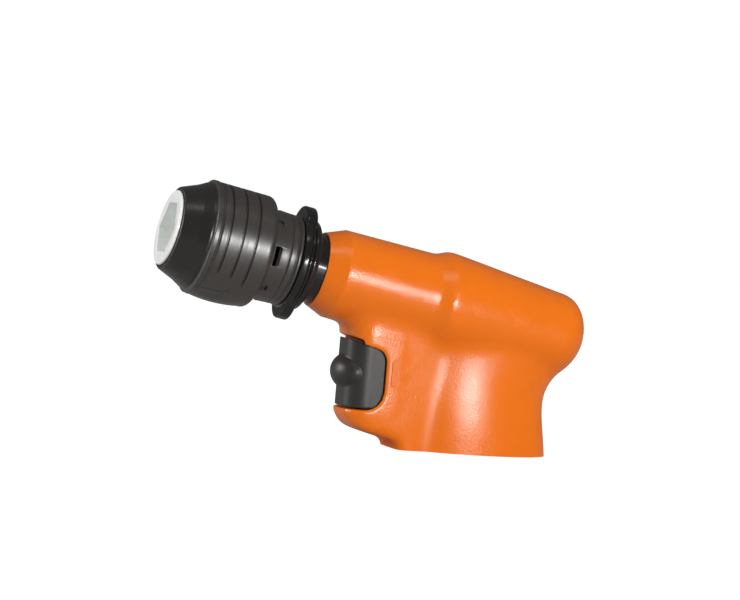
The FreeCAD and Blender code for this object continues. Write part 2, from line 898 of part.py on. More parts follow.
def make_gearbox_plates():
    """Plates that close the gearbox, and the screws to the neck."""
    rear_plate = tube(motor_front, motor_front + plate_thickness, motor_radius, motor_shaft_radius + slide_gap)
    for turn in (60.0, 240.0):
        seat = motor_front + plate_thickness - screw_head_height - 0.2
        hole = moved(rod(motor_front, seat, screw_shank + seat_gap), z=9.0)
        head_room = moved(rod(seat, motor_front + plate_thickness, screw_head + 0.2), z=9.0)
        rear_plate = rear_plate.cut([turned(hole, turn), turned(head_room, turn)])
    keep_on_spindle("gearbox_rear_plate", rear_plate)
    plate_rear = gearbox_front()
    plate_front = plate_rear + front_plate_thickness
    front_plate = tube(plate_rear, plate_front, motor_radius, spindle_radius + slide_gap)
    screws = []
    for index in range(4):
        turn = 45.0 + 90.0 * index
        hole = moved(rod(plate_rear, plate_front, screw_shank + seat_gap), z=12.0)
        head_room = moved(rod(plate_rear, plate_rear + screw_head_height, screw_head + 0.2), z=12.0)
        front_plate = front_plate.cut([turned(hole, turn), turned(head_room, turn)])
        screw = socket_screw(front_plate_thickness - screw_head_height + neck_flange_thickness - 0.4)
        screw.rotate(V(0, 0, 0), V(0, 1, 0), 90)
        screws.append(turned(moved(screw, x=plate_rear + screw_head_height, z=12.0), turn))
    keep_on_spindle("gearbox_front_plate", front_plate)
    keep_on_spindle("gearbox_screws", Part.makeCompound(screws))


# Spindle, bearing and neck


def ball_circle():
    """Radius on which the bearing balls run."""
    return (spindle_radius + seat_gap + bearing_outer_radius) / 2


def make_bearing():
    """Ball bearing of the spindle and its circlip."""
    front = bearing_rear + bearing_width
    middle = bearing_rear + bearing_width / 2
    race = Part.makeTorus(ball_circle(), bearing_ball_radius + running_fit, V(middle, 0, 0), V(1, 0, 0))
    inner = tube(bearing_rear, front, spindle_radius + seat_gap + bearing_ring_wall, spindle_radius + seat_gap)
    outer = tube(bearing_rear, front, bearing_outer_radius, bearing_outer_radius - bearing_ring_wall)
    balls = []
    cage = tube(middle - 1.6, middle + 1.6, ball_circle() + 0.35, ball_circle() - 0.35)
    for index in range(bearing_ball_count):
        angle = 2 * math.pi * index / bearing_ball_count
        balls.append(on_circle(Part.makeSphere(bearing_ball_radius, V(middle, 0, 0)), ball_circle(), angle))
        pocket = Part.makeSphere(bearing_ball_radius + seat_gap, V(middle, 0, 0))
        cage = cage.cut(on_circle(pocket, ball_circle(), angle))
    keep_on_spindle("bearing_inner_ring", inner.cut(race))
    keep_on_spindle("bearing_outer_ring", outer.cut(race))
    keep_on_spindle("bearing_balls", Part.makeCompound(balls))
    keep_on_spindle("bearing_cage", cage)
    clip = tube(front, front + 1.0, bearing_outer_radius + 0.9, bearing_outer_radius - 1.2)
    slit = Part.makeBox(1.0, 3.0, bearing_outer_radius + 1.0, V(front, -1.5, 0))
    keep_on_spindle("bearing_circlip", clip.cut(slit))


def make_spindle():
    """Output spindle with its hexagon end."""
    rear = output_stage()[1] + gear_side_gap
    shaft = rod(rear, spindle_hex_start, spindle_radius - seat_gap)
    flange = rod(bearing_rear - 2.0, bearing_rear, spindle_radius + 1.2)
    shaft = shaft.fuse([flange, hexagon(spindle_hex_start, spindle_end, spindle_hex)])
    keep_on_spindle("output_spindle", shaft)


def bayonet_station():
    """Middle of the bayonet pins."""
    return lock_ring_rear + lock_ring_length / 2


def bayonet_angles():
    """Angle of each bayonet pin in degrees."""
    return (30.0, 150.0, 270.0)


def make_neck():
    """Neck sleeve with its flange, seal groove and bayonet pins."""
    flange_rear = gearbox_front() + front_plate_thickness
    flange_front = flange_rear + neck_flange_thickness
    bore_front = bearing_rear + bearing_width
    bore = bearing_outer_radius + seat_gap
    neck = rod(flange_rear, flange_front, motor_radius).fuse(rod(flange_front, neck_front, neck_radius))
    neck = neck.cut(rod(flange_rear, bearing_rear, bore - 1.5))
    neck = neck.cut(rod(bearing_rear, neck_front, bore))
    neck = neck.cut(rod(bore_front, bore_front + 1.1, bore + 1.0))
    neck = neck.cut(rod(bore_front + 3.0, neck_front, neck_radius - 2.8))
    seal_station = neck_front - 2.0
    seal_circle = neck_radius - 0.3
    groove = Part.makeTorus(seal_circle, neck_seal_wire / 2 + seat_gap, V(seal_station, 0, 0), V(1, 0, 0))
    seal = Part.makeTorus(seal_circle, neck_seal_wire / 2, V(seal_station, 0, 0), V(1, 0, 0))
    pins = []
    for angle in bayonet_angles():
        root = neck_radius - 2.8
        length = neck_radius + bayonet_pin_reach - root
        pin = Part.makeCylinder(bayonet_pin_radius, length, V(bayonet_station(), 0, root))
        hole = Part.makeCylinder(bayonet_pin_radius, length, V(bayonet_station(), 0, root))
        neck = neck.cut(turned(hole, angle))
        pins.append(turned(pin, angle))
    for index in range(4):
        hole = moved(rod(flange_rear, flange_front, screw_shank + seat_gap), z=12.0)
        neck = neck.cut(turned(hole, 45.0 + 90.0 * index))
    keep_on_spindle("neck_sleeve", neck.cut(groove))
    keep_on_spindle("neck_seal", seal)
    keep_on_spindle("bayonet_pins", Part.makeCompound(pins))


# Coupler


def wedge(rear, front, radius, start, end):
    """Sector about X between two angles in degrees, measured from +Z."""
    sector = Part.makeCylinder(radius, front - rear, V(0, 0, 0), V(0, 0, 1), end - start)
    sector.rotate(V(0, 0, 0), V(0, 1, 0), 90)
    return turned(moved(sector, x=rear), start - 180.0)


def make_lock_ring():
    """Lock ring with two ears and its bayonet track."""
    rear = lock_ring_rear
    front = rear + lock_ring_length
    bore = neck_radius + slide_gap
    ring = lathe([(rear, bore), (rear, lock_ring_radius, 0.8), (front, lock_ring_radius, 0.8), (front, bore)])
    middle = bayonet_station()
    for side in (-1, 1):
        ear = moved(rod(middle - ear_thickness / 2, middle + ear_thickness / 2, ear_circle),
                    z=side * (ear_reach - ear_circle))
        ear = ear.makeFillet(1.2, ear.Edges[:1] + ear.Edges[2:3])
        ring = ring.fuse(ear)
    ring = ring.cut(rod(rear, front, bore))
    track_radius = neck_radius + bayonet_pin_reach + slide_gap
    half_width = bayonet_pin_radius + slide_gap
    spare = math.degrees(half_width / neck_radius)
    for angle in bayonet_angles():
        track = wedge(middle - half_width, middle + half_width, track_radius,
                      angle - lock_turn - spare, angle + spare)
        entry_width = math.degrees(half_width / neck_radius)
        entry = wedge(rear, middle, track_radius, angle - lock_turn - entry_width, angle - lock_turn + entry_width)
        ring = ring.cut([track, entry])
    keep_on_spindle("lock_ring", ring)


def make_collar():
    """Windowed collar that carries the core bush and the grip sleeve."""
    bore = neck_radius + seat_gap
    collar = lathe([
        (collar_rear, bore),
        (collar_rear, collar_rear_radius, 0.6),
        (collar_rear + 1.2, collar_rear_radius, 0.3),
        (collar_rear + 1.7, collar_rear_radius - 0.4),
        (collar_rear + 2.4, collar_rear_radius),
        (collar_shoulder, collar_radius),
        (collar_shoulder, collar_tube_radius),
        (collar_tube_end, collar_tube_radius),
        (collar_tube_end, bore),
    ])
    for index in range(4):
        slot = Part.makeBox(window_width, window_length, collar_radius + 1.0,
                            V(window_station - window_width / 2, -window_length / 2, 0))
        recess = Part.makeCylinder(1.3, collar_radius + 1.0, V(window_station + 0.4, 0, 0))
        shallow = recess.cut(rod(collar_rear, collar_shoulder, collar_radius - 1.6))
        collar = collar.cut([turned(slot, 90.0 * index), turned(shallow, 45.0 + 90.0 * index)])
    keep_on_spindle("collar", collar)


def sleeve_chamber():
    """Inside radius of the grip sleeve's skirt."""
    return collar_radius + slide_gap


def make_grip_sleeve():
    """Black sleeve with ribs, thumb pad and conical nose."""
    spring_seat = collar_tube_end
    land = core_body_radius + slide_gap
    land_rear = spring_seat + sleeve_travel + slide_gap
    taper = latch_pin_travel / sleeve_travel
    pin_rear = latch_station - latch_pin_radius
    pocket_front = latch_station + latch_pin_radius + sleeve_travel + 0.5
    points = [
        (sleeve_rear, sleeve_chamber()),
        (sleeve_rear, sleeve_radius, 2.4),
        (sleeve_bead_station - 2.2, sleeve_radius),
        (sleeve_bead_station - 1.4, sleeve_radius - 0.5),
        (sleeve_bead_station - 0.9, sleeve_bead_radius, 0.5),
        (sleeve_bead_station + 0.9, sleeve_bead_radius, 0.5),
        (sleeve_bead_station + 1.3, nose_base_radius),
        (nose_base_station, nose_base_radius),
        (nose_kink_station, nose_kink_radius),
        (nose_front_station, nose_front_radius, 0.5),
        (nose_front_station, land),
        (pocket_front, land),
        (pocket_front, land + taper * (pocket_front - pin_rear)),
        (pin_rear, land),
        (land_rear, land),
        (land_rear, collar_tube_radius + slide_gap),
        (spring_seat, collar_tube_radius + slide_gap),
        (spring_seat, sleeve_chamber()),
    ]
    sleeve = lathe(points)
    for station in groove_stations:
        groove = tube(station - groove_width / 2, station + groove_width / 2,
                      sleeve_radius + 1.0, sleeve_radius - groove_depth)
        sleeve = sleeve.cut(groove)
    pad = tube(pad_rear, pad_front, sleeve_radius + pad_rise, sleeve_chamber() + 0.6)
    pad = pad.common(wedge(pad_rear, pad_front, sleeve_radius + 2.0,
                           180.0 - pad_half_angle, 180.0 + pad_half_angle))
    keep_on_spindle("grip_sleeve", sleeve.fuse(pad))
    spring_middle = (collar_tube_radius + slide_gap + sleeve_chamber()) / 2
    spring = coil(collar_shoulder, spring_seat, spring_middle, sleeve_spring_wire, sleeve_spring_turns)
    keep_on_spindle("sleeve_spring", spring)


def latch_angles():
    """Angle of each latch pin from +Z, in degrees."""
    return (0.0, 120.0, 240.0)


def make_core():
    """White core with its sockets, bush, circlip and latch pins."""
    core = lathe([
        (core_tail_rear, 0.0),
        (core_tail_rear, core_tail_radius, 0.8),
        (core_journal_rear, core_tail_radius),
        (core_journal_rear, core_journal_radius),
        (collar_tube_end + slide_gap, core_journal_radius),
        (collar_tube_end + slide_gap, core_body_radius),
        (core_end - core_rim_length, core_body_radius),
        (core_end - core_rim_length, core_rim_radius),
        (core_end, core_rim_radius, rim_bevel),
        (core_end, 0.0),
    ])
    hex_rear = core_end - hub_hex_depth
    core = core.cut(hexagon(hex_rear, core_end, hub_hex))
    core = core.cut(rod(hex_rear - pilot_length, hex_rear, pilot_radius))
    core = core.cut(hexagon(core_tail_rear, spindle_end + 2.0, spindle_hex + 2 * seat_gap))
    for index, angle in enumerate(latch_angles()):
        outer = core_body_radius - 0.1
        inner = hub_hex / 2 - latch_pin_nose
        hole = Part.makeCylinder(latch_pin_radius + running_fit, core_body_radius, V(latch_station, 0, hub_hex / 2 - 1.0))
        core = core.cut(turned(hole, angle))
        pin = Part.makeCylinder(latch_pin_radius, outer - inner, V(latch_station, 0, inner))
        pin = pin.makeFillet(0.7, [edge for edge in pin.Edges if edge.BoundBox.ZMax < inner + 0.1])
        keep_on_spindle(f"latch_pin_{index + 1}", turned(pin, angle))
    bush_outer = neck_radius + seat_gap
    clip_width = 1.0
    clip_rear = core_journal_rear + 1.0
    bush_rear = clip_rear + clip_width + 0.2
    core = core.cut(tube(clip_rear, clip_rear + clip_width, core_journal_radius + 1.0, core_journal_radius - 0.8))
    keep_on_spindle("coupler_core", core)
    bush = tube(bush_rear, collar_tube_end, bush_outer - seat_gap, core_journal_radius + running_fit)
    keep_on_spindle("core_bush", bush)
    clip = tube(clip_rear, clip_rear + clip_width, core_journal_radius + 1.6, core_journal_radius - 0.8)
    slit = Part.makeBox(clip_width, 3.0, core_journal_radius + 2.0, V(clip_rear, -1.5, 0))
    keep_on_spindle("core_circlip", clip.cut(slit))


make_housing()
make_case_screws()
make_foot()
make_batteries()
make_trigger()
make_switch()
make_motor()
make_board()
make_gearbox()
make_bearing()
make_spindle()
make_neck()
make_lock_ring()
make_collar()
make_grip_sleeve()
make_core()
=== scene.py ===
import json
import math

import bmesh
import bpy
from mathutils import Matrix, Vector


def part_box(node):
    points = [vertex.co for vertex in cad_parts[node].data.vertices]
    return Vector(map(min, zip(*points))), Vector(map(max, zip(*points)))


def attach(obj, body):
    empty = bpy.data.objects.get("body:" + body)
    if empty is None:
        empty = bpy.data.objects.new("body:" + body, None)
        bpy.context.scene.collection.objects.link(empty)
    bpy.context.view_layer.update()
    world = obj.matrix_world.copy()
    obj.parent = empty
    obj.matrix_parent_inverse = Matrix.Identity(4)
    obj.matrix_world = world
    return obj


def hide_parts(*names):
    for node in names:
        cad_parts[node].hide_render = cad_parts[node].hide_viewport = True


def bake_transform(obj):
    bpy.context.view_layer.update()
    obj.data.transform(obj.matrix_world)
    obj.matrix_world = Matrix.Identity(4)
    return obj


bl_info = {
    "name": "Bone access drill",
    "version": (1, 0, 0),
    "blender": (4, 5, 0),
    "location": "3D View > Sidebar > Drill",
    "description": "Dresses the drill's construction model with moulded, turned and plated surfaces",
    "category": "Object",
}

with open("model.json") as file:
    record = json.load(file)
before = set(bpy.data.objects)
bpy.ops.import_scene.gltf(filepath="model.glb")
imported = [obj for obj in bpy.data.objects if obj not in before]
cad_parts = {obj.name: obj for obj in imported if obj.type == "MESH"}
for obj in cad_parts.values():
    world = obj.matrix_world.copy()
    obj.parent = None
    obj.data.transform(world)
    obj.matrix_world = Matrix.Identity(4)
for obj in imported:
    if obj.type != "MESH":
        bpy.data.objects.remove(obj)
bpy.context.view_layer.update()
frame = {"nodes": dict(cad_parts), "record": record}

MM = 0.001

# The spindle line leans back from +X and crosses the foot's middle at this height
spindle_tilt = math.radians(10.8)
spindle_height = 56.5
to_spindle = Matrix.Translation((0, 0, spindle_height * MM)) @ Matrix.Rotation(-spindle_tilt, 4, "Y")
from_spindle = to_spindle.inverted()

# The tilted stations below are in millimetres along the spindle line
handle_middle = -1.35
handle_half_length = 33.05
handle_half_width = 17.0
shell_wall = 2.2


class DrillColours(bpy.types.PropertyGroup):
    """Colours of the drill's finishes"""

    shell: bpy.props.StringProperty(
        name="Shell", description="Orange of the moulded body, as sRGB hex", default="F07400")
    coupler: bpy.props.StringProperty(
        name="Coupler", description="Black of the turned coupler, as sRGB hex", default="332E2B")
    core: bpy.props.StringProperty(
        name="Core", description="White of the rotating core, as sRGB hex", default="FBFCFB")
    trigger: bpy.props.StringProperty(
        name="Trigger", description="Grey of the trigger, as sRGB hex", default="2D2A28")


class DrillSizes(bpy.types.PropertyGroup):
    """Sizes of the drill's modelled details"""

    blend_voxel: bpy.props.FloatProperty(
        name="Blend voxel", description="Voxel with which the body's forms are joined",
        default=1.0 * MM, unit="LENGTH")
    skin_voxel: bpy.props.FloatProperty(
        name="Skin voxel", description="Voxel of the finished body surface",
        default=0.62 * MM, unit="LENGTH")
    blend_steps: bpy.props.IntProperty(
        name="Blend steps", description="Smoothing steps that round the joins of the body", default=34)
    edge_steps: bpy.props.IntProperty(
        name="Edge steps", description="Smoothing steps that round the moulded edges", default=4)
    frame_steps: bpy.props.IntProperty(
        name="Frame steps", description="Smoothing steps that round the trigger's frame", default=16)
    parting_gap: bpy.props.FloatProperty(
        name="Parting gap", description="Width of the line between the two halves",
        default=0.12 * MM, unit="LENGTH")
    turned_segments: bpy.props.IntProperty(
        name="Turned segments", description="Facets round the white core", default=160)


# Mesh helpers


def linear(hex_colour):
    """Linear colour of an sRGB hex value."""
    channels = []
    for start in (0, 2, 4):
        value = int(hex_colour[start:start + 2], 16) / 255
        channels.append(value / 12.92 if value <= 0.04045 else ((value + 0.055) / 1.055) ** 2.4)
    return (*channels, 1.0)


def object_from(name, editor):
    """Object at the origin whose mesh comes from a bmesh, smooth with sharp edges."""
    mesh = bpy.data.meshes.new(name)
    editor.to_mesh(mesh)
    editor.free()
    made = bpy.data.objects.new(name, mesh)
    bpy.context.scene.collection.objects.link(made)
    shade(made, 35.0)
    return made


def shade(piece, angle):
    """Smooth shading with edges sharper than an angle in degrees kept sharp."""
    piece.data.shade_smooth()
    piece.data.set_sharp_from_angle(angle=math.radians(angle))


def spun(points, segments, closed=True):
    """Bmesh turned about X from (station, radius) points in millimetres."""
    editor = bmesh.new()
    corners = [editor.verts.new((x * MM, 0, radius * MM)) for x, radius in points]
    edges = [editor.edges.new(pair) for pair in zip(corners, corners[1:])]
    if closed:
        edges.append(editor.edges.new((corners[-1], corners[0])))
    bmesh.ops.spin(
        editor, geom=corners + edges, cent=(0, 0, 0), axis=(1, 0, 0), angle=math.tau,
        steps=segments, use_merge=True, use_normal_flip=False, use_duplicate=False)
    bmesh.ops.remove_doubles(editor, verts=editor.verts, dist=0.002 * MM)
    bmesh.ops.recalc_face_normals(editor, faces=editor.faces)
    return editor


def turned_rod(rear, front, radius, segments):
    """Bmesh rod about X between two stations."""
    return spun([(rear, 0), (rear, radius), (front, radius), (front, 0)], segments, closed=False)


def rounded(points, steps=5):
    """Outline whose corners, given as (a, b, radius), become arcs."""
    result = []
    for index, point in enumerate(points):
        if len(point) == 2:
            result.append(point)
            continue
        corner = Vector(point[:2])
        before = (Vector(points[index - 1][:2]) - corner).normalized()
        after = (Vector(points[(index + 1) % len(points)][:2]) - corner).normalized()
        half = before.angle(after) / 2
        reach = point[2] / math.tan(half)
        centre = corner + (before + after).normalized() * (point[2] / math.sin(half))
        start = corner + before * reach - centre
        turn = start.angle_signed(corner + after * reach - centre)
        for step in range(steps + 1):
            arm = start.copy()
            arm.rotate(Matrix.Rotation(-turn * step / steps, 2))
            result.append(tuple(centre + arm))
    return result


def prism(outline, low, high, place):
    """Bmesh of an outline of (a, b) points pushed from one level to another."""
    editor = bmesh.new()
    corners = [editor.verts.new(place(a * MM, b * MM, low * MM)) for a, b in outline]
    face = editor.faces.new(corners)
    pushed = bmesh.ops.extrude_face_region(editor, geom=[face])
    moved = [item for item in pushed["geom"] if isinstance(item, bmesh.types.BMVert)]
    travel = Vector(place(0, 0, high * MM)) - Vector(place(0, 0, low * MM))
    bmesh.ops.translate(editor, verts=moved, vec=travel)
    bmesh.ops.recalc_face_normals(editor, faces=editor.faces)
    return editor


def transformed(editor, matrix):
    """Bmesh put in place by a matrix."""
    bmesh.ops.transform(editor, matrix=matrix, verts=editor.verts)
    return editor


def on_side(a, b, level):
    """Place of a side outline's point: a forward, b up, level to the left."""
    return (a, level, b)


def on_plan(a, b, level):
    """Place of a plan outline's point: a forward, b left, level up."""
    return (a, b, level)


def on_end(a, b, level):
    """Place of an end outline's point: a left, b up, level forward."""
    return (level, a, b)


def cylinder(start, end, radius, segments=48):
    """Bmesh bar between two points in millimetres."""
    editor = bmesh.new()
    line = (Vector(end) - Vector(start)) * MM
    bmesh.ops.create_cone(
        editor, cap_ends=True, segments=segments, radius1=radius * MM, radius2=radius * MM,
        depth=line.length)
    turn = line.to_track_quat("Z", "Y").to_matrix().to_4x4()
    middle = (Vector(start) + Vector(end)) * MM / 2
    bmesh.ops.transform(editor, matrix=Matrix.Translation(middle) @ turn, verts=editor.verts)
    return editor


def applied(piece, kind, **settings):
    """Adds a modifier, sets it and bakes it into the mesh."""
    modifier = piece.modifiers.new(kind.title(), kind)
    for name, value in settings.items():
        setattr(modifier, name, value)
    mesh = bpy.data.meshes.new_from_object(piece.evaluated_get(bpy.context.evaluated_depsgraph_get()))
    piece.modifiers.clear()
    old = piece.data
    piece.data = mesh
    bpy.data.meshes.remove(old)
    mesh.name = piece.name


def combined(target, tools, operation):
    """Cuts, joins or trims the target with each tool, and deletes the tools."""
    for tool in tools:
        applied(target, "BOOLEAN", object=tool, operation=operation, solver="MANIFOLD")
        bpy.data.objects.remove(tool)
    return target


def merged_copy(node_name):
    """Bmesh copy of a construction node with its loose triangles merged."""
    editor = bmesh.new()
    editor.from_mesh(frame["nodes"][node_name].data)
    bmesh.ops.remove_doubles(editor, verts=editor.verts, dist=0.001 * MM)
    return editor


def joined(name, editors):
    """One object that holds several closed bmeshes."""
    whole = bmesh.new()
    for editor in editors:
        loose = bpy.data.meshes.new("loose")
        editor.to_mesh(loose)
        editor.free()
        whole.from_mesh(loose)
        bpy.data.meshes.remove(loose)
    return object_from(name, whole)


def merge_into(target, other):
    """Adds another object's mesh to the target's as it is."""
    editor = bmesh.new()
    editor.from_mesh(target.data)
    editor.from_mesh(other.data)
    editor.to_mesh(target.data)
    editor.free()
    bpy.data.objects.remove(other)


def smooth_points(editor, points):
    """Moves points of a bmesh half way to the middle of their neighbours."""
    bmesh.ops.smooth_vert(
        editor, verts=points, factor=0.5, use_axis_x=True, use_axis_y=True, use_axis_z=True)


def relaxed(piece, steps):
    """Rounds a whole piece by smoothing all its points."""
    editor = bmesh.new()
    editor.from_mesh(piece.data)
    for _ in range(steps):
        smooth_points(editor, editor.verts)
    editor.to_mesh(piece.data)
    editor.free()


def swollen(piece, amount):
    """Moves each point out along its normal."""
    editor = bmesh.new()
    editor.from_mesh(piece.data)
    editor.normal_update()
    for vertex in editor.verts:
        vertex.co += vertex.normal * amount
    editor.to_mesh(piece.data)
    editor.free()


def finish_piece(piece, maker, body, node_name):
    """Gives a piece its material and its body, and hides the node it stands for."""
    piece.data.materials.clear()
    piece.data.materials.append(material(maker))
    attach(piece, body)
    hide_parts(node_name)


# Driver body


def body_profile(inset):
    """Outline of rear cap, shoulder and barrel along the spindle line."""
    cap_start = -33.9
    cap_radius = 17.4
    cap_length = 12.1
    steps = 18
    points = []
    for step in range(steps + 1):
        angle = math.pi / 2 * step / steps
        points.append((
            cap_start - (cap_length - inset) * math.cos(angle),
            (cap_radius - inset) * math.sin(angle),
        ))
    shoulder = [
        (-15.0, 18.83), (0.0, 19.96), (12.0, 20.87), (17.0, 21.2), (18.4, 21.2), (19.2, 20.95),
        (23.4, 19.0), (24.6, 18.8), (27.6, 18.7),
    ]
    return points + [(x, radius - inset) for x, radius in shoulder]


def body_blank(inset, front):
    """Turned body, closed at both ends."""
    points = body_profile(inset) + front + [(front[-1][0], 0.0)]
    return transformed(spun(points, 128, closed=False), to_spindle)


def handle_blank(inset, bottom):
    """Oval grip as rings of its plan: how far each is drawn in behind and at its flanks."""
    levels = [
        (bottom, 0.0, 0.0), (0.0, 0.0, 0.0), (6.0, 1.0, 0.0), (12.0, 2.0, 0.1), (17.0, 2.8, 0.4),
        (22.0, 3.1, 0.75), (26.0, 2.6, 1.05), (30.0, 0.6, 1.25), (34.0, -2.0, 1.3), (40.0, -4.5, 1.3),
        (50.0, -6.0, 1.4),
    ]
    editor = bmesh.new()
    below = None
    for height, waist, lean in levels:
        ring = bmesh.ops.create_circle(editor, cap_ends=False, segments=96, radius=1.0)["verts"]
        half_length = (handle_half_length - waist / 2 - inset) * MM
        half_width = (handle_half_width - lean - inset) * MM
        for vertex in ring:
            vertex.co.x = vertex.co.x * half_length + (handle_middle + waist / 2) * MM
            vertex.co.y *= half_width
            vertex.co.z = height * MM
        around = {edge for vertex in ring for edge in vertex.link_edges}
        edges = [edge for edge in around if edge.is_boundary or edge.is_wire]
        if below:
            bmesh.ops.bridge_loops(editor, edges=below + edges)
        below = edges
    bmesh.ops.holes_fill(editor, edges=editor.edges, sides=0)
    bmesh.ops.recalc_face_normals(editor, faces=editor.faces)
    return editor


nose_front = 56.5
nose_corner = 9.0
web_half_width = 12.5
valley_half_width = 8.6
valley_top_share = 1.34
valley_front = 38.0
frame_half_width = 14.2


def nose_plan(half_width, rear, inset):
    """Plan of the trigger housing with its rounded front."""
    front = nose_front - inset
    corner = max(2.0, nose_corner - inset)
    return rounded([
        (rear, -half_width), (front, -half_width, corner), (front, half_width, corner), (rear, half_width),
    ], 10)


def web_blank():
    """Trigger housing that narrows towards the handle, so that a shallow valley shows between them."""
    half_width = frame_half_width - 0.3
    rear = -4.0
    plan = rounded([
        (rear, -valley_half_width), (valley_front, -half_width), (nose_front, -half_width, nose_corner),
        (nose_front, half_width, nose_corner), (valley_front, half_width), (rear, valley_half_width),
    ], 10)
    web = prism(plan, -6.0, 60.0, on_plan)
    for vertex in web.verts:
        if vertex.co.x < 0 and vertex.co.z > 0:
            vertex.co.y *= valley_top_share
    return web


def nose_blank(half_width, rear, inset, bottom, top):
    """Trigger housing as a prism of its plan."""
    return prism(nose_plan(half_width, rear, inset), bottom, top, on_plan)


def belly_cutter():
    """Block under the trigger housing that leaves its rising underside."""
    outline = [
        (33.2, -12.0), (33.2, 2.8), (38.9, 4.2), (49.3, 6.7), (53.0, 8.4), (55.4, 11.0), (56.6, 14.0),
        (70.0, 14.0), (70.0, -12.0),
    ]
    return prism(outline, -30.0, 30.0, on_side)


def side_box(rear, front, bottom, top, corner, half_width):
    """Block seen from the side with rounded rear corners."""
    outline = rounded([(rear, bottom, corner), (front, bottom), (front, top), (rear, top, corner)], 8)
    return prism(outline, -half_width, half_width, on_side)


lens_roundness = 0.96
lens_play = 0.06
lens_bed = 12.9


def lens_outline(grow):
    """Rounded slot of the indicator lens, seen from the side."""
    low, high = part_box("indicator_lens")
    corner = (high.x - low.x) / 2 / MM * lens_roundness + grow
    return rounded([
        (low.x / MM - grow, low.z / MM - grow, corner), (high.x / MM + grow, low.z / MM - grow, corner),
        (high.x / MM + grow, high.z / MM + grow, corner), (low.x / MM - grow, high.z / MM + grow, corner),
    ], 8)


def screw_centres():
    """Middle of each case screw in millimetres, from the separate solids of the screws' mesh."""
    editor = merged_copy("case_screws")
    left = set(editor.verts)
    centres = []
    while left:
        reach = [left.pop()]
        found = list(reach)
        while reach:
            for edge in reach.pop().link_edges:
                for other in edge.verts:
                    if other in left:
                        left.remove(other)
                        reach.append(other)
                        found.append(other)
        corners = [vertex.co for vertex in found]
        centres.append(tuple((min(values) + max(values)) / 2 / MM for values in zip(*corners)))
    editor.free()
    return sorted(centres)


opening_rear = 42.0
opening_top = 38.9
opening_slope = 0.277
pocket_rear = 36.1
pocket_half_width = 12.6
pocket_rise = 1.7


def opening_height(x):
    """Height of the slanting top of the trigger's opening."""
    return opening_top + opening_slope * (x - opening_rear)


def opening_cutter(name, rear, bottom, lower_corner, rise, half_width):
    """Block that cuts the trigger's opening from its rear edge to beyond the front."""
    front = 70.0
    outline = rounded([
        (rear, bottom, lower_corner), (front, bottom), (front, opening_height(front) + rise),
        (rear, opening_height(rear) + rise, 5.0),
    ], 10)
    return object_from(name, prism(outline, -half_width, half_width, on_side))


def below_axis(vertex):
    """How far a vertex lies below the spindle line, in millimetres."""
    return -(from_spindle @ vertex.co).z / MM


def blend_joins(body, steps):
    """Rounds the joins of barrel, handle and trigger housing, and leaves the turned parts crisp."""
    editor = bmesh.new()
    editor.from_mesh(body.data)
    first_depth = 2.0
    last_depth = 10.0
    for step in range(steps):
        least = first_depth + (last_depth - first_depth) * step / steps
        low = [vertex for vertex in editor.verts if below_axis(vertex) > least]
        smooth_points(editor, low)
    editor.to_mesh(body.data)
    editor.free()


def soften_frame(body, steps):
    """Rounds the raised frame round the trigger."""
    editor = bmesh.new()
    editor.from_mesh(body.data)
    rear = 29 * MM
    top = 52 * MM
    near = [vertex for vertex in editor.verts if vertex.co.x > rear and vertex.co.z < top]
    for _ in range(steps):
        smooth_points(editor, near)
    editor.to_mesh(body.data)
    editor.free()


smoothing_loss = 0.2
cone_rear = 64.4
cone_rear_radius = 18.0
cone_front = 72.0
cone_front_radius = 15.0


def make_shell(sizes):
    """Both halves of the body: blended outside, hollow inside, parted on the middle plane."""
    front = [(63.4, 18.12), (cone_front, 18.1)]
    web = object_from("web", web_blank())
    combined(web, [object_from("cutter", belly_cutter())], "DIFFERENCE")
    body = joined("driver_shell", [body_blank(0.0, front), handle_blank(0.0, -8.0)])
    merge_into(body, web)
    applied(body, "REMESH", mode="VOXEL", voxel_size=sizes.blend_voxel)
    relaxed(body, 2)
    blend_joins(body, sizes.blend_steps)
    swollen(body, smoothing_loss * MM)
    merge_into(body, make_frame())
    applied(body, "REMESH", mode="VOXEL", voxel_size=sizes.skin_voxel)
    soften_frame(body, sizes.frame_steps)
    openings = [
        opening_cutter("window", opening_rear, 15.2, lower_corner=8.0, rise=0.0, half_width=40.0),
        opening_cutter("pocket", pocket_rear, 15.3, 4.0, pocket_rise, pocket_half_width),
    ]
    combined(body, openings, "DIFFERENCE")
    applied(body, "REMESH", mode="VOXEL", voxel_size=sizes.skin_voxel)
    relaxed(body, sizes.edge_steps)
    combined(body, [cone_trimmer()], "INTERSECT")
    hollow_out(body)
    add_screw_pillars(body)
    part_halves(body, sizes)


def make_frame():
    """Raised frame round the trigger."""
    frame_rear = 35.0
    cheeks = object_from("cheeks", nose_blank(frame_half_width, frame_rear, 0.0, bottom=4.0, top=48.0))
    combined(cheeks, [object_from("cutter", belly_cutter())], "DIFFERENCE")
    rim = side_box(frame_rear, 70.0, bottom=12.5, top=47.5, corner=6.0, half_width=40.0)
    return combined(cheeks, [object_from("rim", rim)], "INTERSECT")


def cone_trimmer():
    """Room inside the barrel's front cone, open behind it, which leaves the cone's edge crisp."""
    opening = 62.0
    outline = [
        (cone_front, 0.0), (cone_front, cone_front_radius), (cone_rear, cone_rear_radius),
        (opening, cone_rear_radius + 1.0), (opening, 90.0), (-90.0, 90.0), (-90.0, 0.0),
    ]
    return object_from("cone", transformed(spun(outline, 192, closed=False), to_spindle))


neck_radius = 14.3
pillar_radius = 3.4
rear_pillar_end = 12.5
front_pillar_end = 10.5
head_radius = 2.5
head_seat = 9.5
shank_radius = 1.2
shank_tip = 7.0


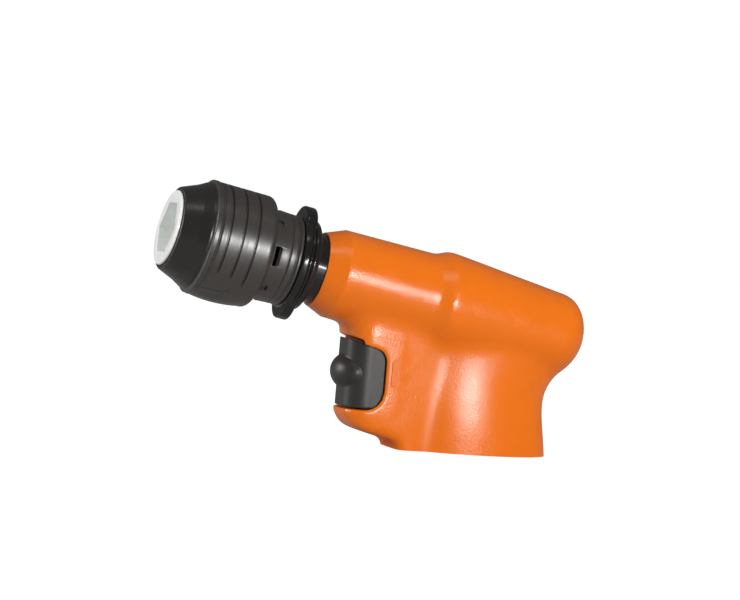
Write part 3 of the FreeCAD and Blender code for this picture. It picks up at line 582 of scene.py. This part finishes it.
def hollow_out(body):
    """Takes the inside, the neck hole, the foot and the lens slot out of the body."""
    inner_front = [(62.4, 15.9)]
    inner_web = nose_blank(web_half_width - shell_wall, rear=0.0, inset=20.0, bottom=5.5, top=56.0)
    below_foot = [(-60, -40), (80, -40), (80, 40), (-60, 40)]
    cutters = [
        object_from("inner_barrel", body_blank(shell_wall, inner_front)),
        object_from("inner_handle", handle_blank(shell_wall + smoothing_loss, -12.0)),
        object_from("inner_web", inner_web),
        object_from("neck_hole", transformed(turned_rod(50, 80, neck_radius, 96), to_spindle)),
        object_from("foot_cut", prism(below_foot, -30.0, 0.0, on_plan)),
        object_from("lens_slot", prism(lens_outline(lens_play), lens_bed, 20.0, on_side)),
    ]
    combined(body, cutters, "DIFFERENCE")


def add_screw_pillars(body):
    """Pillars between the halves with the bores of the case screws, which go in from the right."""
    centres = screw_centres()
    for x, _, z in centres:
        end = rear_pillar_end if x < 0 else front_pillar_end
        pillar = cylinder((x, -end, z), (x, end, z), pillar_radius)
        combined(body, [object_from("pillar", pillar)], "UNION")
    for x, _, z in centres:
        head = object_from("head", cylinder((x, -30, z), (x, -head_seat, z), head_radius))
        shank = object_from("shank", cylinder((x, -12, z), (x, shank_tip, z), shank_radius, 24))
        combined(body, [head, shank], "DIFFERENCE")


def part_halves(body, sizes):
    """Splits the body into its left and right half."""
    half_gap = sizes.parting_gap / 2 / MM
    beyond = 60.0
    room = [(-90, -30), (120, -30), (120, 130), (-90, 130)]
    for name, node_name, side in (
        ("shell_left", "housing_left", 1),
        ("shell_right", "housing_right", -1),
    ):
        half = body.copy()
        half.data = body.data.copy()
        half.name = name
        bpy.context.scene.collection.objects.link(half)
        low, high = sorted((side * half_gap, side * beyond))
        combined(half, [object_from("keep", prism(room, low, high, on_side))], "INTERSECT")
        shade(half, 32)
        finish_piece(half, moulded_orange, "driver", node_name)
    bpy.data.objects.remove(body)


# Coupler


def dense(points, step):
    """Open outline with points added so that no stretch is longer than a step."""
    result = []
    for point, after in zip(points, points[1:]):
        count = max(1, math.ceil(math.dist(point, after) / step))
        for part in range(count):
            result.append(tuple(Vector(point).lerp(Vector(after), part / count)))
    return result + [points[-1]]


def eased(value, low, high):
    """Smooth step from 0 at low to 1 at high."""
    share = min(1.0, max(0.0, (value - low) / (high - low)))
    return share * share * (3 - 2 * share)


def hollow_line(distance, half_width):
    """Section of an engraved line with a flat floor: 1 at its middle, 0 beside it."""
    floor_share = 0.35
    return 1.0 - eased(abs(distance), half_width * floor_share, half_width)


sleeve_radius = 22.9
sleeve_bore = 14.6
spring_room = 19.5
sleeve_rear = 97.0
bead_station = 121.6
tube_end = 118.0
latch_station = 124.0
groove_stations = (105.2, 110.9, 116.6)
groove_ends = (49.0, 54.0, 56.0)
groove_depth = 0.7
groove_half_width = 0.5
groove_fade = 3.0
pad_middle = 111.0
pad_half_length = 11.0
pad_rise = 1.1
pad_flat_end = 12.0
pad_line_rear = 105.5
pad_line_depth = 0.4
pad_line_half_width = 0.7


def pad_edge(station):
    """Angle from the bottom at which the thumb pad's upper edge lies."""
    front_angle = 30.0
    rear_rise = 13.0
    return front_angle + rear_rise * eased(station, 112.5, 106.5)


def grip_surface(station, radius, from_bottom):
    """Radius of the grip sleeve with its grooves, thumb pad and the line over the pad."""
    for middle, end in zip(groove_stations, groove_ends):
        share = eased(from_bottom, end - groove_fade, end + groove_fade)
        radius -= groove_depth * hollow_line(station - middle, groove_half_width) * share
    along = max(0.0, 1.0 - ((station - pad_middle) / pad_half_length) ** 2)
    radius += pad_rise * along * (1.0 - eased(from_bottom, pad_flat_end, pad_edge(station) + 4.0))
    if pad_line_rear < station < bead_station:
        distance = math.radians(from_bottom - pad_edge(station)) * radius
        fade = eased(station, pad_line_rear, pad_line_rear + 2.0)
        radius -= pad_line_depth * hollow_line(distance, pad_line_half_width) * fade
    return radius


def make_grip():
    """Black grip sleeve, turned and then shaped by its grooves and pad."""
    outside = rounded([
        (sleeve_rear, spring_room), (sleeve_rear, sleeve_radius, 2.4),
        (bead_station - 2.2, sleeve_radius, 0.3), (bead_station - 1.4, 22.35, 0.3),
        (bead_station - 0.9, 23.1, 0.4), (bead_station + 0.9, 23.1, 0.4), (bead_station + 1.3, 21.75, 0.4),
        (123.9, 21.7, 1.0), (127.7, 19.6, 1.5), (134.6, 16.8, 0.7), (134.6, sleeve_bore),
    ], 6)
    pocket_front = latch_station + 6.0
    pin_rear = latch_station - 1.5
    pocket_depth = 0.3 * (pocket_front - pin_rear)
    land_rear = tube_end + 4.3
    inside = [
        (pocket_front, sleeve_bore), (pocket_front, sleeve_bore + pocket_depth),
        (pin_rear, sleeve_bore), (land_rear, sleeve_bore), (land_rear, 17.8), (tube_end, 17.8),
        (tube_end, spring_room),
    ]
    skin_step = 0.22
    skin_from = 19.9
    editor = spun(dense(outside, skin_step) + inside, 256)
    for vertex in editor.verts:
        station = vertex.co.x / MM
        radius = math.hypot(vertex.co.y, vertex.co.z) / MM
        if radius > skin_from and station < bead_station:
            from_bottom = abs(math.degrees(math.atan2(vertex.co.y, -vertex.co.z)))
            share = grip_surface(station, radius, from_bottom) / radius
            vertex.co.y *= share
            vertex.co.z *= share
    sleeve = object_from("grip_skin", editor)
    nose = [face for face in sleeve.data.polygons if face.center.x > (bead_station + 1.4) * MM]
    place_in_row(sleeve, 28)
    finish_piece(sleeve, turned_black, "grip", "grip_sleeve")
    sleeve.data.materials.append(material(nose_black))
    for face in nose:
        face.material_index = 1


socket_across = 20.0
drive_across = 7.9
pilot_radius = 5.0
latch_hole_radius = 1.58


def make_core(sizes):
    """White core with a rounded rim and a hexagonal socket."""
    outside = rounded([
        (92.0, 0.0), (92.0, 8.0, 0.8), (104.5, 8.0), (104.5, 11.0), (118.3, 11.0), (118.3, 14.3),
        (134.9, 14.3), (134.9, 15.2), (135.9, 15.2, 0.55), (135.9, 0.0),
    ], 6)
    core = object_from("core_skin", spun(outside, sizes.turned_segments, closed=False))
    socket = hexagon_bar(socket_across, 121.9, 140.0)
    pilot = object_from("pilot", turned_rod(108.0, 122.5, pilot_radius, 64))
    drive = hexagon_bar(drive_across, 90.0, 106.0)
    combined(core, [socket, pilot, drive], "DIFFERENCE")
    for turn in (0, 120, 240):
        hole = cylinder((latch_station, 0, 9.0), (latch_station, 0, 16.0), latch_hole_radius, 32)
        transformed(hole, Matrix.Rotation(math.radians(turn), 4, "X"))
        combined(core, [object_from("hole", hole)], "DIFFERENCE")
    applied(core, "BEVEL", width=0.35 * MM, segments=3, limit_method="ANGLE", angle_limit=math.radians(40))
    # Faces inside the socket take a slightly darker, greener copy of the white: painted shade in the
    # recess.
    socket_rear = 108.5 * MM
    socket_reach = 11.3 * MM
    inner = [
        face for face in core.data.polygons
        if face.center.x > socket_rear and face.center.yz.length < socket_reach and abs(face.normal.x) < 0.6
    ]
    place_in_row(core, 30)
    finish_piece(core, glazed_white, "output", "coupler_core")
    core.data.materials.append(material(socket_painted_shade))
    for face in inner:
        face.material_index = 1


def make_collar():
    """Black collar with its rear lips, windows and recesses."""
    outside = rounded([
        (84.5, 14.25), (84.5, 18.6, 0.4), (85.5, 18.6, 0.4), (86.1, 17.9, 0.2), (86.8, 18.35, 0.2),
        (88.7, 18.4, 0.15), (89.1, 18.0), (89.5, 18.45, 0.15), (105.6, 19.2), (106.0, 18.9), (106.0, 17.5),
        (118.0, 17.5), (118.0, 14.25),
    ], 4)
    collar = object_from("collar_skin", spun(outside, 192))
    slot = rounded([(93.0, -4.0, 0.5), (95.8, -4.0, 0.5), (95.8, 4.0, 0.5), (93.0, 4.0, 0.5)], 4)
    recess = rounded([(93.6, -1.5, 0.6), (96.0, -1.5, 0.6), (96.0, 1.5, 0.6), (93.6, 1.5, 0.6)], 4)
    for turn in range(8):
        outline, depth = ((slot, 10.0), (recess, 17.5))[turn % 2]
        cutter = prism(outline, depth, 25.0, on_plan)
        transformed(cutter, Matrix.Rotation(turn * math.pi / 4, 4, "X"))
        combined(collar, [object_from("cutter", cutter)], "DIFFERENCE")
    applied(collar, "BEVEL", width=0.2 * MM, segments=2, limit_method="ANGLE", angle_limit=math.radians(50))
    place_in_row(collar, 35)
    finish_piece(collar, turned_black, "driver", "collar")


def place_in_row(piece, sharp_angle):
    """Tilts a piece made about X into its place on the spindle line."""
    piece.data.transform(to_spindle)
    shade(piece, sharp_angle)


ear_offset = 12.6


def make_lock_ring():
    """Glossy lock ring with two rounded ears and the track of its bayonet pins."""
    ring = spun(rounded([
        (76.6, 12.0), (76.6, 18.3, 1.2), (79.2, 18.9, 0.6), (79.6, 17.7, 0.3), (80.6, 17.7, 0.3),
        (81.0, 18.9, 0.6), (84.1, 18.6, 0.8), (84.1, 12.0),
    ], 6), 128)
    ear_radius = 10.6
    ears = [
        cylinder((78.9, 0, offset), (83.4, 0, offset), ear_radius, 96)
        for offset in (-ear_offset, ear_offset)
    ]
    ring = joined("lock_ring_skin", [ring, *ears])
    applied(ring, "REMESH", mode="VOXEL", voxel_size=0.27 * MM)
    relaxed(ring, 7)
    bore = [
        (70.0, 0.0), (70.0, 14.5), (79.0, 14.5), (79.0, 16.95), (82.2, 16.95), (82.2, 14.5), (90.0, 14.5),
        (90.0, 0.0),
    ]
    combined(ring, [object_from("bore", spun(bore, 128, closed=False))], "DIFFERENCE")
    place_in_row(ring, 50)
    finish_piece(ring, gloss_black, "lock", "lock_ring")


def hexagon_bar(across, rear, front):
    """Hexagonal bar along X with a flat on top."""
    corner = across / 2 / math.cos(math.pi / 6)
    outline = [
        (corner * math.cos(math.radians(60 * side)), corner * math.sin(math.radians(60 * side)))
        for side in range(6)
    ]
    return object_from("hexagon", prism(outline, rear, front, on_end))


# Trigger


trigger_top_rise = 0.5
dome_centre = (52.6, 0.0, 29.8)
dome_radii = (7.8, 11.3, 7.8)


def make_trigger():
    """Grey trigger with a slanting top, rounded front and a finger dome that wraps its corners."""
    low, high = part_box("trigger")
    rear = low.x / MM
    front = nose_front
    half_width = high.y / MM
    corner = 8.6
    plan = rounded([
        (rear, -half_width), (front, -half_width, corner), (front, half_width, corner), (rear, half_width),
    ], 12)
    bottom = low.z / MM
    block = object_from("trigger_skin", prism(plan, bottom, high.z / MM + 5.0, on_plan))
    beyond = front + 10.0
    side = rounded([
        (rear, bottom, 4.6), (beyond, bottom), (beyond, opening_height(beyond) + trigger_top_rise),
        (rear, opening_height(rear) + trigger_top_rise, 3.6),
    ], 8)
    combined(block, [object_from("side", prism(side, -20.0, 20.0, on_side))], "INTERSECT")
    merge_into(block, finger_dome())
    applied(block, "REMESH", mode="VOXEL", voxel_size=0.3 * MM)
    relaxed(block, 2)
    shade(block, 60)
    finish_piece(block, moulded_trigger, "trigger_body", "trigger")


def finger_dome():
    """Flattened ball that stands out of the trigger's front."""
    editor = bmesh.new()
    bmesh.ops.create_uvsphere(editor, u_segments=96, v_segments=48, radius=1.0)
    bmesh.ops.scale(editor, vec=Vector(dome_radii) * MM, verts=editor.verts)
    bmesh.ops.translate(editor, vec=Vector(dome_centre) * MM, verts=editor.verts)
    return object_from("dome", editor)


# Springs


def make_spring(node_name):
    """Copy of a spring with its loose triangles merged, in spring wire, which takes the place of its node.
    """
    spring = object_from(node_name + "_coil", merged_copy(node_name))
    spring.data.materials.append(material(spring_wire))
    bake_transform(spring)
    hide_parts(node_name)


# Materials


# Nearly all of a noise lies between these values
noise_low = 0.3
noise_high = 0.7


def node(tree, kind, links=(), **settings):
    """Adds a shader node, sets its inputs by name and links (input, output) pairs."""
    made = tree.nodes.new(kind)
    for name, value in settings.items():
        if name in made.inputs:
            made.inputs[name].default_value = value
        else:
            setattr(made, name, value)
    for name, source in links:
        tree.links.new(made.inputs[name], source)
    return made


finishes = {}


def material(maker):
    """Finish that a function makes, made once and named after it."""
    if maker not in finishes:
        finishes[maker] = maker(maker.__name__)
    return finishes[maker]


def plain(name, hex_colour, roughness, metallic=0.0, ior=1.5):
    """Material with its shader, its tree and its object coordinates."""
    made = bpy.data.materials.new(name)
    made.use_nodes = True
    tree = made.node_tree
    shader = tree.nodes["Principled BSDF"]
    shader.inputs["Base Color"].default_value = linear(hex_colour)
    shader.inputs["Roughness"].default_value = roughness
    shader.inputs["Metallic"].default_value = metallic
    if not metallic:
        shader.inputs["IOR"].default_value = ior
    place = node(tree, "ShaderNodeTexCoord").outputs["Object"]
    return made, tree, shader, place


def tinted(tree, shader, factor, spread=0.06):
    """Lets the shader's colour wander about its own value by a share, along a factor."""
    colour = list(shader.inputs["Base Color"].default_value)[:3]
    ramp = node(tree, "ShaderNodeValToRGB", [("Fac", factor)])
    ends = ((noise_low, 1 - spread), (noise_high, 1 + spread))
    for element, (position, share) in zip(ramp.color_ramp.elements, ends):
        element.position = position
        element.color = (*(min(1.0, value * share) for value in colour), 1.0)
    tree.links.new(shader.inputs["Base Color"], ramp.outputs["Color"])


def bumped(tree, shader, height, distance_mm, strength):
    """Bump of a real depth on the shader, weakened by a strength below 1."""
    bump = node(tree, "ShaderNodeBump", [("Height", height)], Strength=strength, Distance=distance_mm * MM)
    tree.links.new(shader.inputs["Normal"], bump.outputs["Normal"])


def noise(tree, place, grain_mm):
    """Noise whose grains measure about grain_mm."""
    return node(tree, "ShaderNodeTexNoise", [("Vector", place)], Scale=1 / (grain_mm * MM), Detail=2.0)


def varied_roughness(tree, shader, factor, low, high):
    """Roughness that wanders between two values by a factor."""
    span = node(tree, "ShaderNodeMapRange", [("Value", factor)])
    span.inputs["From Min"].default_value = noise_low
    span.inputs["From Max"].default_value = noise_high
    span.inputs["To Min"].default_value = low
    span.inputs["To Max"].default_value = high
    tree.links.new(shader.inputs["Roughness"], span.outputs["Result"])


def moulded_orange(name):
    """Spark-textured orange nylon: fine grains that break the highlight into specks."""
    colours = bpy.context.scene.drill_colours
    made, tree, shader, place = plain(name, colours.shell, 0.22, ior=1.52)
    tinted(tree, shader, noise(tree, place, 14.0).outputs["Fac"], 0.02)
    bumped(tree, shader, noise(tree, place, 0.6).outputs["Fac"], 0.1, 0.9)
    varied_roughness(tree, shader, noise(tree, place, 6.0).outputs["Fac"], 0.19, 0.26)
    return made


def moulded_trigger(name):
    """Dark grey glass-filled nylon, finely matt with a soft sheen."""
    made, tree, shader, place = plain(name, bpy.context.scene.drill_colours.trigger, 0.42)
    tinted(tree, shader, noise(tree, place, 7.0).outputs["Fac"])
    bumped(tree, shader, noise(tree, place, 0.6).outputs["Fac"], 0.05, 0.6)
    return made


def around_spindle(tree, place):
    """Coordinates in the spindle's own frame, for patterns that follow a turned part."""
    move = node(tree, "ShaderNodeMapping", [("Vector", place)], vector_type="TEXTURE")
    move.inputs["Location"].default_value = (0, 0, spindle_height * MM)
    move.inputs["Rotation"].default_value = (0, -spindle_tilt, 0)
    return move.outputs["Vector"]


def turned_lines(tree, place, pitch_mm):
    """Fine lines round a turned part, as the lathe leaves them, drawn coarse enough to show."""
    stretch = node(tree, "ShaderNodeMapping", [("Vector", around_spindle(tree, place))])
    around = 60.0
    stretch.inputs["Scale"].default_value = (1 / (pitch_mm * MM), around, around)
    return node(tree, "ShaderNodeTexNoise", [("Vector", stretch.outputs["Vector"])], Scale=1.0, Detail=3.0)


def turned_black(name):
    """Black filled polymer, turned: a broad satin sheen with faint lathe lines."""
    made, tree, shader, place = plain(name, bpy.context.scene.drill_colours.coupler, 0.34)
    lines = turned_lines(tree, place, 0.35)
    tinted(tree, shader, lines.outputs["Fac"])
    bumped(tree, shader, lines.outputs["Fac"], 0.05, 0.6)
    varied_roughness(tree, shader, lines.outputs["Fac"], 0.30, 0.42)
    shader.inputs["Specular IOR Level"].default_value = 1.0
    return made


def nose_black(name):
    """Same polymer on the nose, left smoother and darker than the gripped part."""
    made, tree, shader, place = plain(name, "262321", 0.3)
    varied_roughness(tree, shader, noise(tree, place, 4.0).outputs["Fac"], 0.26, 0.34)
    return made


def socket_painted_shade(name):
    """Same white polymer inside the socket, made a little darker and greener than the core: painted shade
    in the recess.
    """
    made, tree, shader, place = plain(name, "F6FAF6", 0.35)
    tinted(tree, shader, noise(tree, place, 5.0).outputs["Fac"])
    return made


def gloss_black(name):
    """Polished black polymer of the neck and lock ring."""
    made, tree, shader, place = plain(name, "1C1918", 0.16)
    varied_roughness(tree, shader, noise(tree, place, 5.0).outputs["Fac"], 0.12, 0.22)
    bumped(tree, shader, turned_lines(tree, place, 0.5).outputs["Fac"], 0.01, 0.4)
    return made


def glazed_white(name):
    """Dense white ceramic-filled polymer, polished."""
    made, tree, shader, place = plain(name, bpy.context.scene.drill_colours.core, 0.22)
    tinted(tree, shader, noise(tree, place, 9.0).outputs["Fac"])
    varied_roughness(tree, shader, noise(tree, place, 3.0).outputs["Fac"], 0.18, 0.28)
    return made


def turned_steel(name):
    """Turned stainless steel with fine tool lines."""
    made, tree, shader, place = plain(name, "B9B8B4", 0.28, metallic=1.0)
    lines = turned_lines(tree, place, 0.25)
    tinted(tree, shader, lines.outputs["Fac"])
    bumped(tree, shader, lines.outputs["Fac"], 0.02, 0.5)
    return made


def plated_screw(name):
    """Zinc-plated screw steel, slightly worn."""
    made, tree, shader, place = plain(name, "A9A8A6", 0.33, metallic=1.0)
    varied_roughness(tree, shader, noise(tree, place, 0.8).outputs["Fac"], 0.26, 0.42)
    return made


def spring_wire(name):
    """Drawn spring wire, bright."""
    made, tree, shader, place = plain(name, "A6A5A2", 0.25, metallic=1.0)
    varied_roughness(tree, shader, noise(tree, place, 0.5).outputs["Fac"], 0.20, 0.34)
    return made


def rolled_brass(name):
    """Rolled brass sheet, a little tarnished."""
    made, tree, shader, place = plain(name, "C9A552", 0.3, metallic=1.0)
    tinted(tree, shader, noise(tree, place, 3.0).outputs["Fac"])
    return made


def moulded_rubber(name):
    """Black nitrile rubber, dull with a fine bloom."""
    made, tree, shader, place = plain(name, "191919", 0.7)
    bumped(tree, shader, noise(tree, place, 0.4).outputs["Fac"], 0.03, 0.5)
    return made


def acetal(name):
    """Natural acetal of the gears and bushes, waxy off-white."""
    made, tree, shader, place = plain(name, "E6E2D6", 0.38)
    tinted(tree, shader, noise(tree, place, 4.0).outputs["Fac"])
    return made


def moulded_black(name):
    """Black moulded nylon of the inner parts."""
    made, tree, shader, place = plain(name, "1E1E1E", 0.5)
    bumped(tree, shader, noise(tree, place, 0.5).outputs["Fac"], 0.03, 0.5)
    return made


def green_laminate(name):
    """Glass-epoxy board with its woven cloth just showing."""
    made, tree, shader, place = plain(name, "1E5A36", 0.4)
    weave = node(tree, "ShaderNodeTexWave", [("Vector", place)], Scale=1 / (0.6 * MM) / math.tau)
    tinted(tree, shader, weave.outputs["Fac"])
    return made


def cell_sleeve(name):
    """Blue shrink sleeve over a cell, glossy."""
    made, tree, shader, place = plain(name, "2E3F66", 0.25)
    tinted(tree, shader, noise(tree, place, 6.0).outputs["Fac"])
    return made


def lens_plastic(name):
    """Smooth translucent orange lens, flush in the body."""
    made, tree, shader, place = plain(name, "EA741A", 0.2, ior=1.49)
    tinted(tree, shader, noise(tree, place, 3.0).outputs["Fac"])
    return made


# Finish of each of the record's material slots
slot_finishes = {
    "orange_shell": moulded_orange,
    "trigger_grey": moulded_trigger,
    "lens_orange": lens_plastic,
    "coupler_black": turned_black,
    "coupler_gloss": gloss_black,
    "core_white": glazed_white,
    "steel": turned_steel,
    "screw_steel": plated_screw,
    "spring_steel": spring_wire,
    "brass": rolled_brass,
    "rubber_black": moulded_rubber,
    "gear_plastic": acetal,
    "inner_black": moulded_black,
    "board_green": green_laminate,
    "cell_wrap": cell_sleeve,
}


# Stage


def make_camera(scene):
    """Camera at the photograph's viewing angle."""
    azimuth = math.radians(161.3)
    elevation = math.radians(2.2)
    roll = math.radians(4.9)
    distance = 1.16
    aim = Vector((0.0467, 0.0, 0.0590))
    back = Vector((
        math.sin(azimuth) * math.cos(elevation),
        -math.cos(azimuth) * math.cos(elevation),
        math.sin(elevation),
    ))
    data = bpy.data.cameras.new("camera")
    data.lens = 139.6
    data.sensor_width = 36.0
    camera = bpy.data.objects.new("camera", data)
    scene.collection.objects.link(camera)
    turn = (-back).to_track_quat("-Z", "Y").to_matrix().to_4x4()
    camera.matrix_world = Matrix.Translation(aim + back * distance) @ turn @ Matrix.Rotation(roll, 4, "Z")
    data.clip_start = 0.01
    data.clip_end = 20.0
    scene.camera = camera


floor_drop = 0.2
floor_glow = 0.86
surroundings_light = 0.5
reflected_light = 0.14


def make_floor():
    """Pale floor that shows white to the camera and keeps a soft shadow."""
    editor = bmesh.new()
    bmesh.ops.create_grid(editor, x_segments=1, y_segments=1, size=3.0)
    floor = object_from("floor", transformed(editor, Matrix.Translation((0, 0, -floor_drop * MM))))
    made, tree, shader, place = plain("pale_floor", "BABAB8", 0.6)
    tinted(tree, shader, noise(tree, place, 60.0).outputs["Fac"])
    seen = node(tree, "ShaderNodeLightPath").outputs["Is Camera Ray"]
    glow = node(tree, "ShaderNodeMath", [(0, seen)], operation="MULTIPLY")
    glow.inputs[1].default_value = floor_glow
    shader.inputs["Emission Color"].default_value = (1, 1, 1, 1)
    tree.links.new(shader.inputs["Emission Strength"], glow.outputs["Value"])
    floor.data.materials.append(made)


def make_world(scene):
    """White surroundings for the camera and for reflections, with a plain light level."""
    world = bpy.data.worlds.new("studio")
    world.use_nodes = True
    tree = world.node_tree
    scene.world = world
    background = tree.nodes["Background"]
    background.inputs["Color"].default_value = (1, 1, 1, 1)
    path = node(tree, "ShaderNodeLightPath")
    reflected = node(tree, "ShaderNodeMapRange", [("Value", path.outputs["Is Glossy Ray"])])
    reflected.inputs["To Min"].default_value = surroundings_light
    reflected.inputs["To Max"].default_value = reflected_light
    strength = node(tree, "ShaderNodeMapRange", [("Value", path.outputs["Is Camera Ray"])])
    tree.links.new(strength.inputs["To Min"], reflected.outputs["Result"])
    strength.inputs["To Max"].default_value = 1.0
    tree.links.new(background.inputs["Strength"], strength.outputs["Result"])


def make_lamps():
    """A soft box beside the camera, a strip above and a weak fill in front."""
    aim = Vector((0.035, 0, 0.06))
    for name, azimuth, elevation, reach, size, watts in (
        ("key", 191.0, 6.0, 1.1, (0.2, 0.06), 6.3),
        ("top", 170.0, 68.0, 0.8, (0.5, 0.12), 0.6),
        ("front", 68.0, 12.0, 0.9, (0.3, 0.3), 3.5),
    ):
        turn = math.radians(azimuth)
        rise = math.radians(elevation)
        away = Vector((math.sin(turn) * math.cos(rise), -math.cos(turn) * math.cos(rise), math.sin(rise)))
        data = bpy.data.lights.new(name, "AREA")
        data.shape = "RECTANGLE"
        data.size, data.size_y = size
        data.energy = watts
        lamp = bpy.data.objects.new(name, data)
        bpy.context.scene.collection.objects.link(lamp)
        facing = (-away).to_track_quat("-Z", "Y").to_matrix().to_4x4()
        lamp.matrix_world = Matrix.Translation(aim + away * reach) @ facing


# Operators


class DRILL_OT_finishes(bpy.types.Operator):
    """Gives every construction node the finish of its material slot"""

    bl_idname = "drill.finishes"
    bl_label = "Finish the construction parts"

    def execute(self, context):
        for entry in frame["record"]["subparts"]:
            part = frame["nodes"][entry["node"]]
            finish = material(slot_finishes[entry["material_slot"]])
            for slot in part.material_slots:
                slot.material = finish
            if not part.material_slots:
                part.data.materials.append(finish)
        return {"FINISHED"}


class DRILL_OT_shell(bpy.types.Operator):
    """Makes the blended orange body in two halves"""

    bl_idname = "drill.shell"
    bl_label = "Make the body"

    def execute(self, context):
        make_shell(context.scene.drill_sizes)
        return {"FINISHED"}


class DRILL_OT_grip(bpy.types.Operator):
    """Makes the ribbed grip sleeve with its thumb pad and nose"""

    bl_idname = "drill.grip"
    bl_label = "Make the grip sleeve"

    def execute(self, context):
        make_grip()
        return {"FINISHED"}


class DRILL_OT_core(bpy.types.Operator):
    """Makes the white core with its hexagon socket"""

    bl_idname = "drill.core"
    bl_label = "Make the core"

    def execute(self, context):
        make_core(context.scene.drill_sizes)
        return {"FINISHED"}


class DRILL_OT_collar(bpy.types.Operator):
    """Makes the collar with its lips, windows and recesses"""

    bl_idname = "drill.collar"
    bl_label = "Make the collar"

    def execute(self, context):
        make_collar()
        return {"FINISHED"}


class DRILL_OT_lock_ring(bpy.types.Operator):
    """Makes the lock ring with its two ears"""

    bl_idname = "drill.lock_ring"
    bl_label = "Make the lock ring"

    def execute(self, context):
        make_lock_ring()
        return {"FINISHED"}


class DRILL_OT_trigger(bpy.types.Operator):
    """Makes the trigger with its rounded edges"""

    bl_idname = "drill.trigger"
    bl_label = "Make the trigger"

    def execute(self, context):
        make_trigger()
        return {"FINISHED"}


class DRILL_OT_springs(bpy.types.Operator):
    """Makes copies of the two springs, the grip sleeve's and the trigger's"""

    bl_idname = "drill.springs"
    bl_label = "Make the springs"

    def execute(self, context):
        make_spring("sleeve_spring")
        make_spring("trigger_spring")
        return {"FINISHED"}


class DRILL_OT_stage(bpy.types.Operator):
    """Makes the floor, the world, the lamps and the camera"""

    bl_idname = "drill.stage"
    bl_label = "Make the stage"

    def execute(self, context):
        make_camera(context.scene)
        make_floor()
        make_world(context.scene)
        make_lamps()
        return {"FINISHED"}


class DRILL_PT_panel(bpy.types.Panel):
    """Lists the drill's steps and settings"""

    bl_idname = "DRILL_PT_panel"
    bl_label = "Bone access drill"
    bl_space_type = "VIEW_3D"
    bl_region_type = "UI"
    bl_category = "Drill"

    def draw(self, context):
        for step in steps:
            self.layout.operator(step.bl_idname)
        for group in (context.scene.drill_colours, context.scene.drill_sizes):
            for name in group.bl_rna.properties.keys():
                if name not in ("rna_type", "name"):
                    self.layout.prop(group, name)


steps = (
    DRILL_OT_stage,
    DRILL_OT_finishes,
    DRILL_OT_shell,
    DRILL_OT_grip,
    DRILL_OT_core,
    DRILL_OT_collar,
    DRILL_OT_lock_ring,
    DRILL_OT_trigger,
    DRILL_OT_springs,
)
classes = (DrillColours, DrillSizes, *steps, DRILL_PT_panel)


def register():
    for item in classes:
        bpy.utils.register_class(item)
    bpy.types.Scene.drill_colours = bpy.props.PointerProperty(type=DrillColours)
    bpy.types.Scene.drill_sizes = bpy.props.PointerProperty(type=DrillSizes)


def unregister():
    del bpy.types.Scene.drill_sizes
    del bpy.types.Scene.drill_colours
    for item in reversed(classes):
        bpy.utils.unregister_class(item)


def main():
    register()
    bpy.context.scene.view_settings.view_transform = "Standard"
    for step in steps:
        group, name = step.bl_idname.split(".")
        getattr(getattr(bpy.ops, group), name)()


if __name__ == "__main__":
    main()
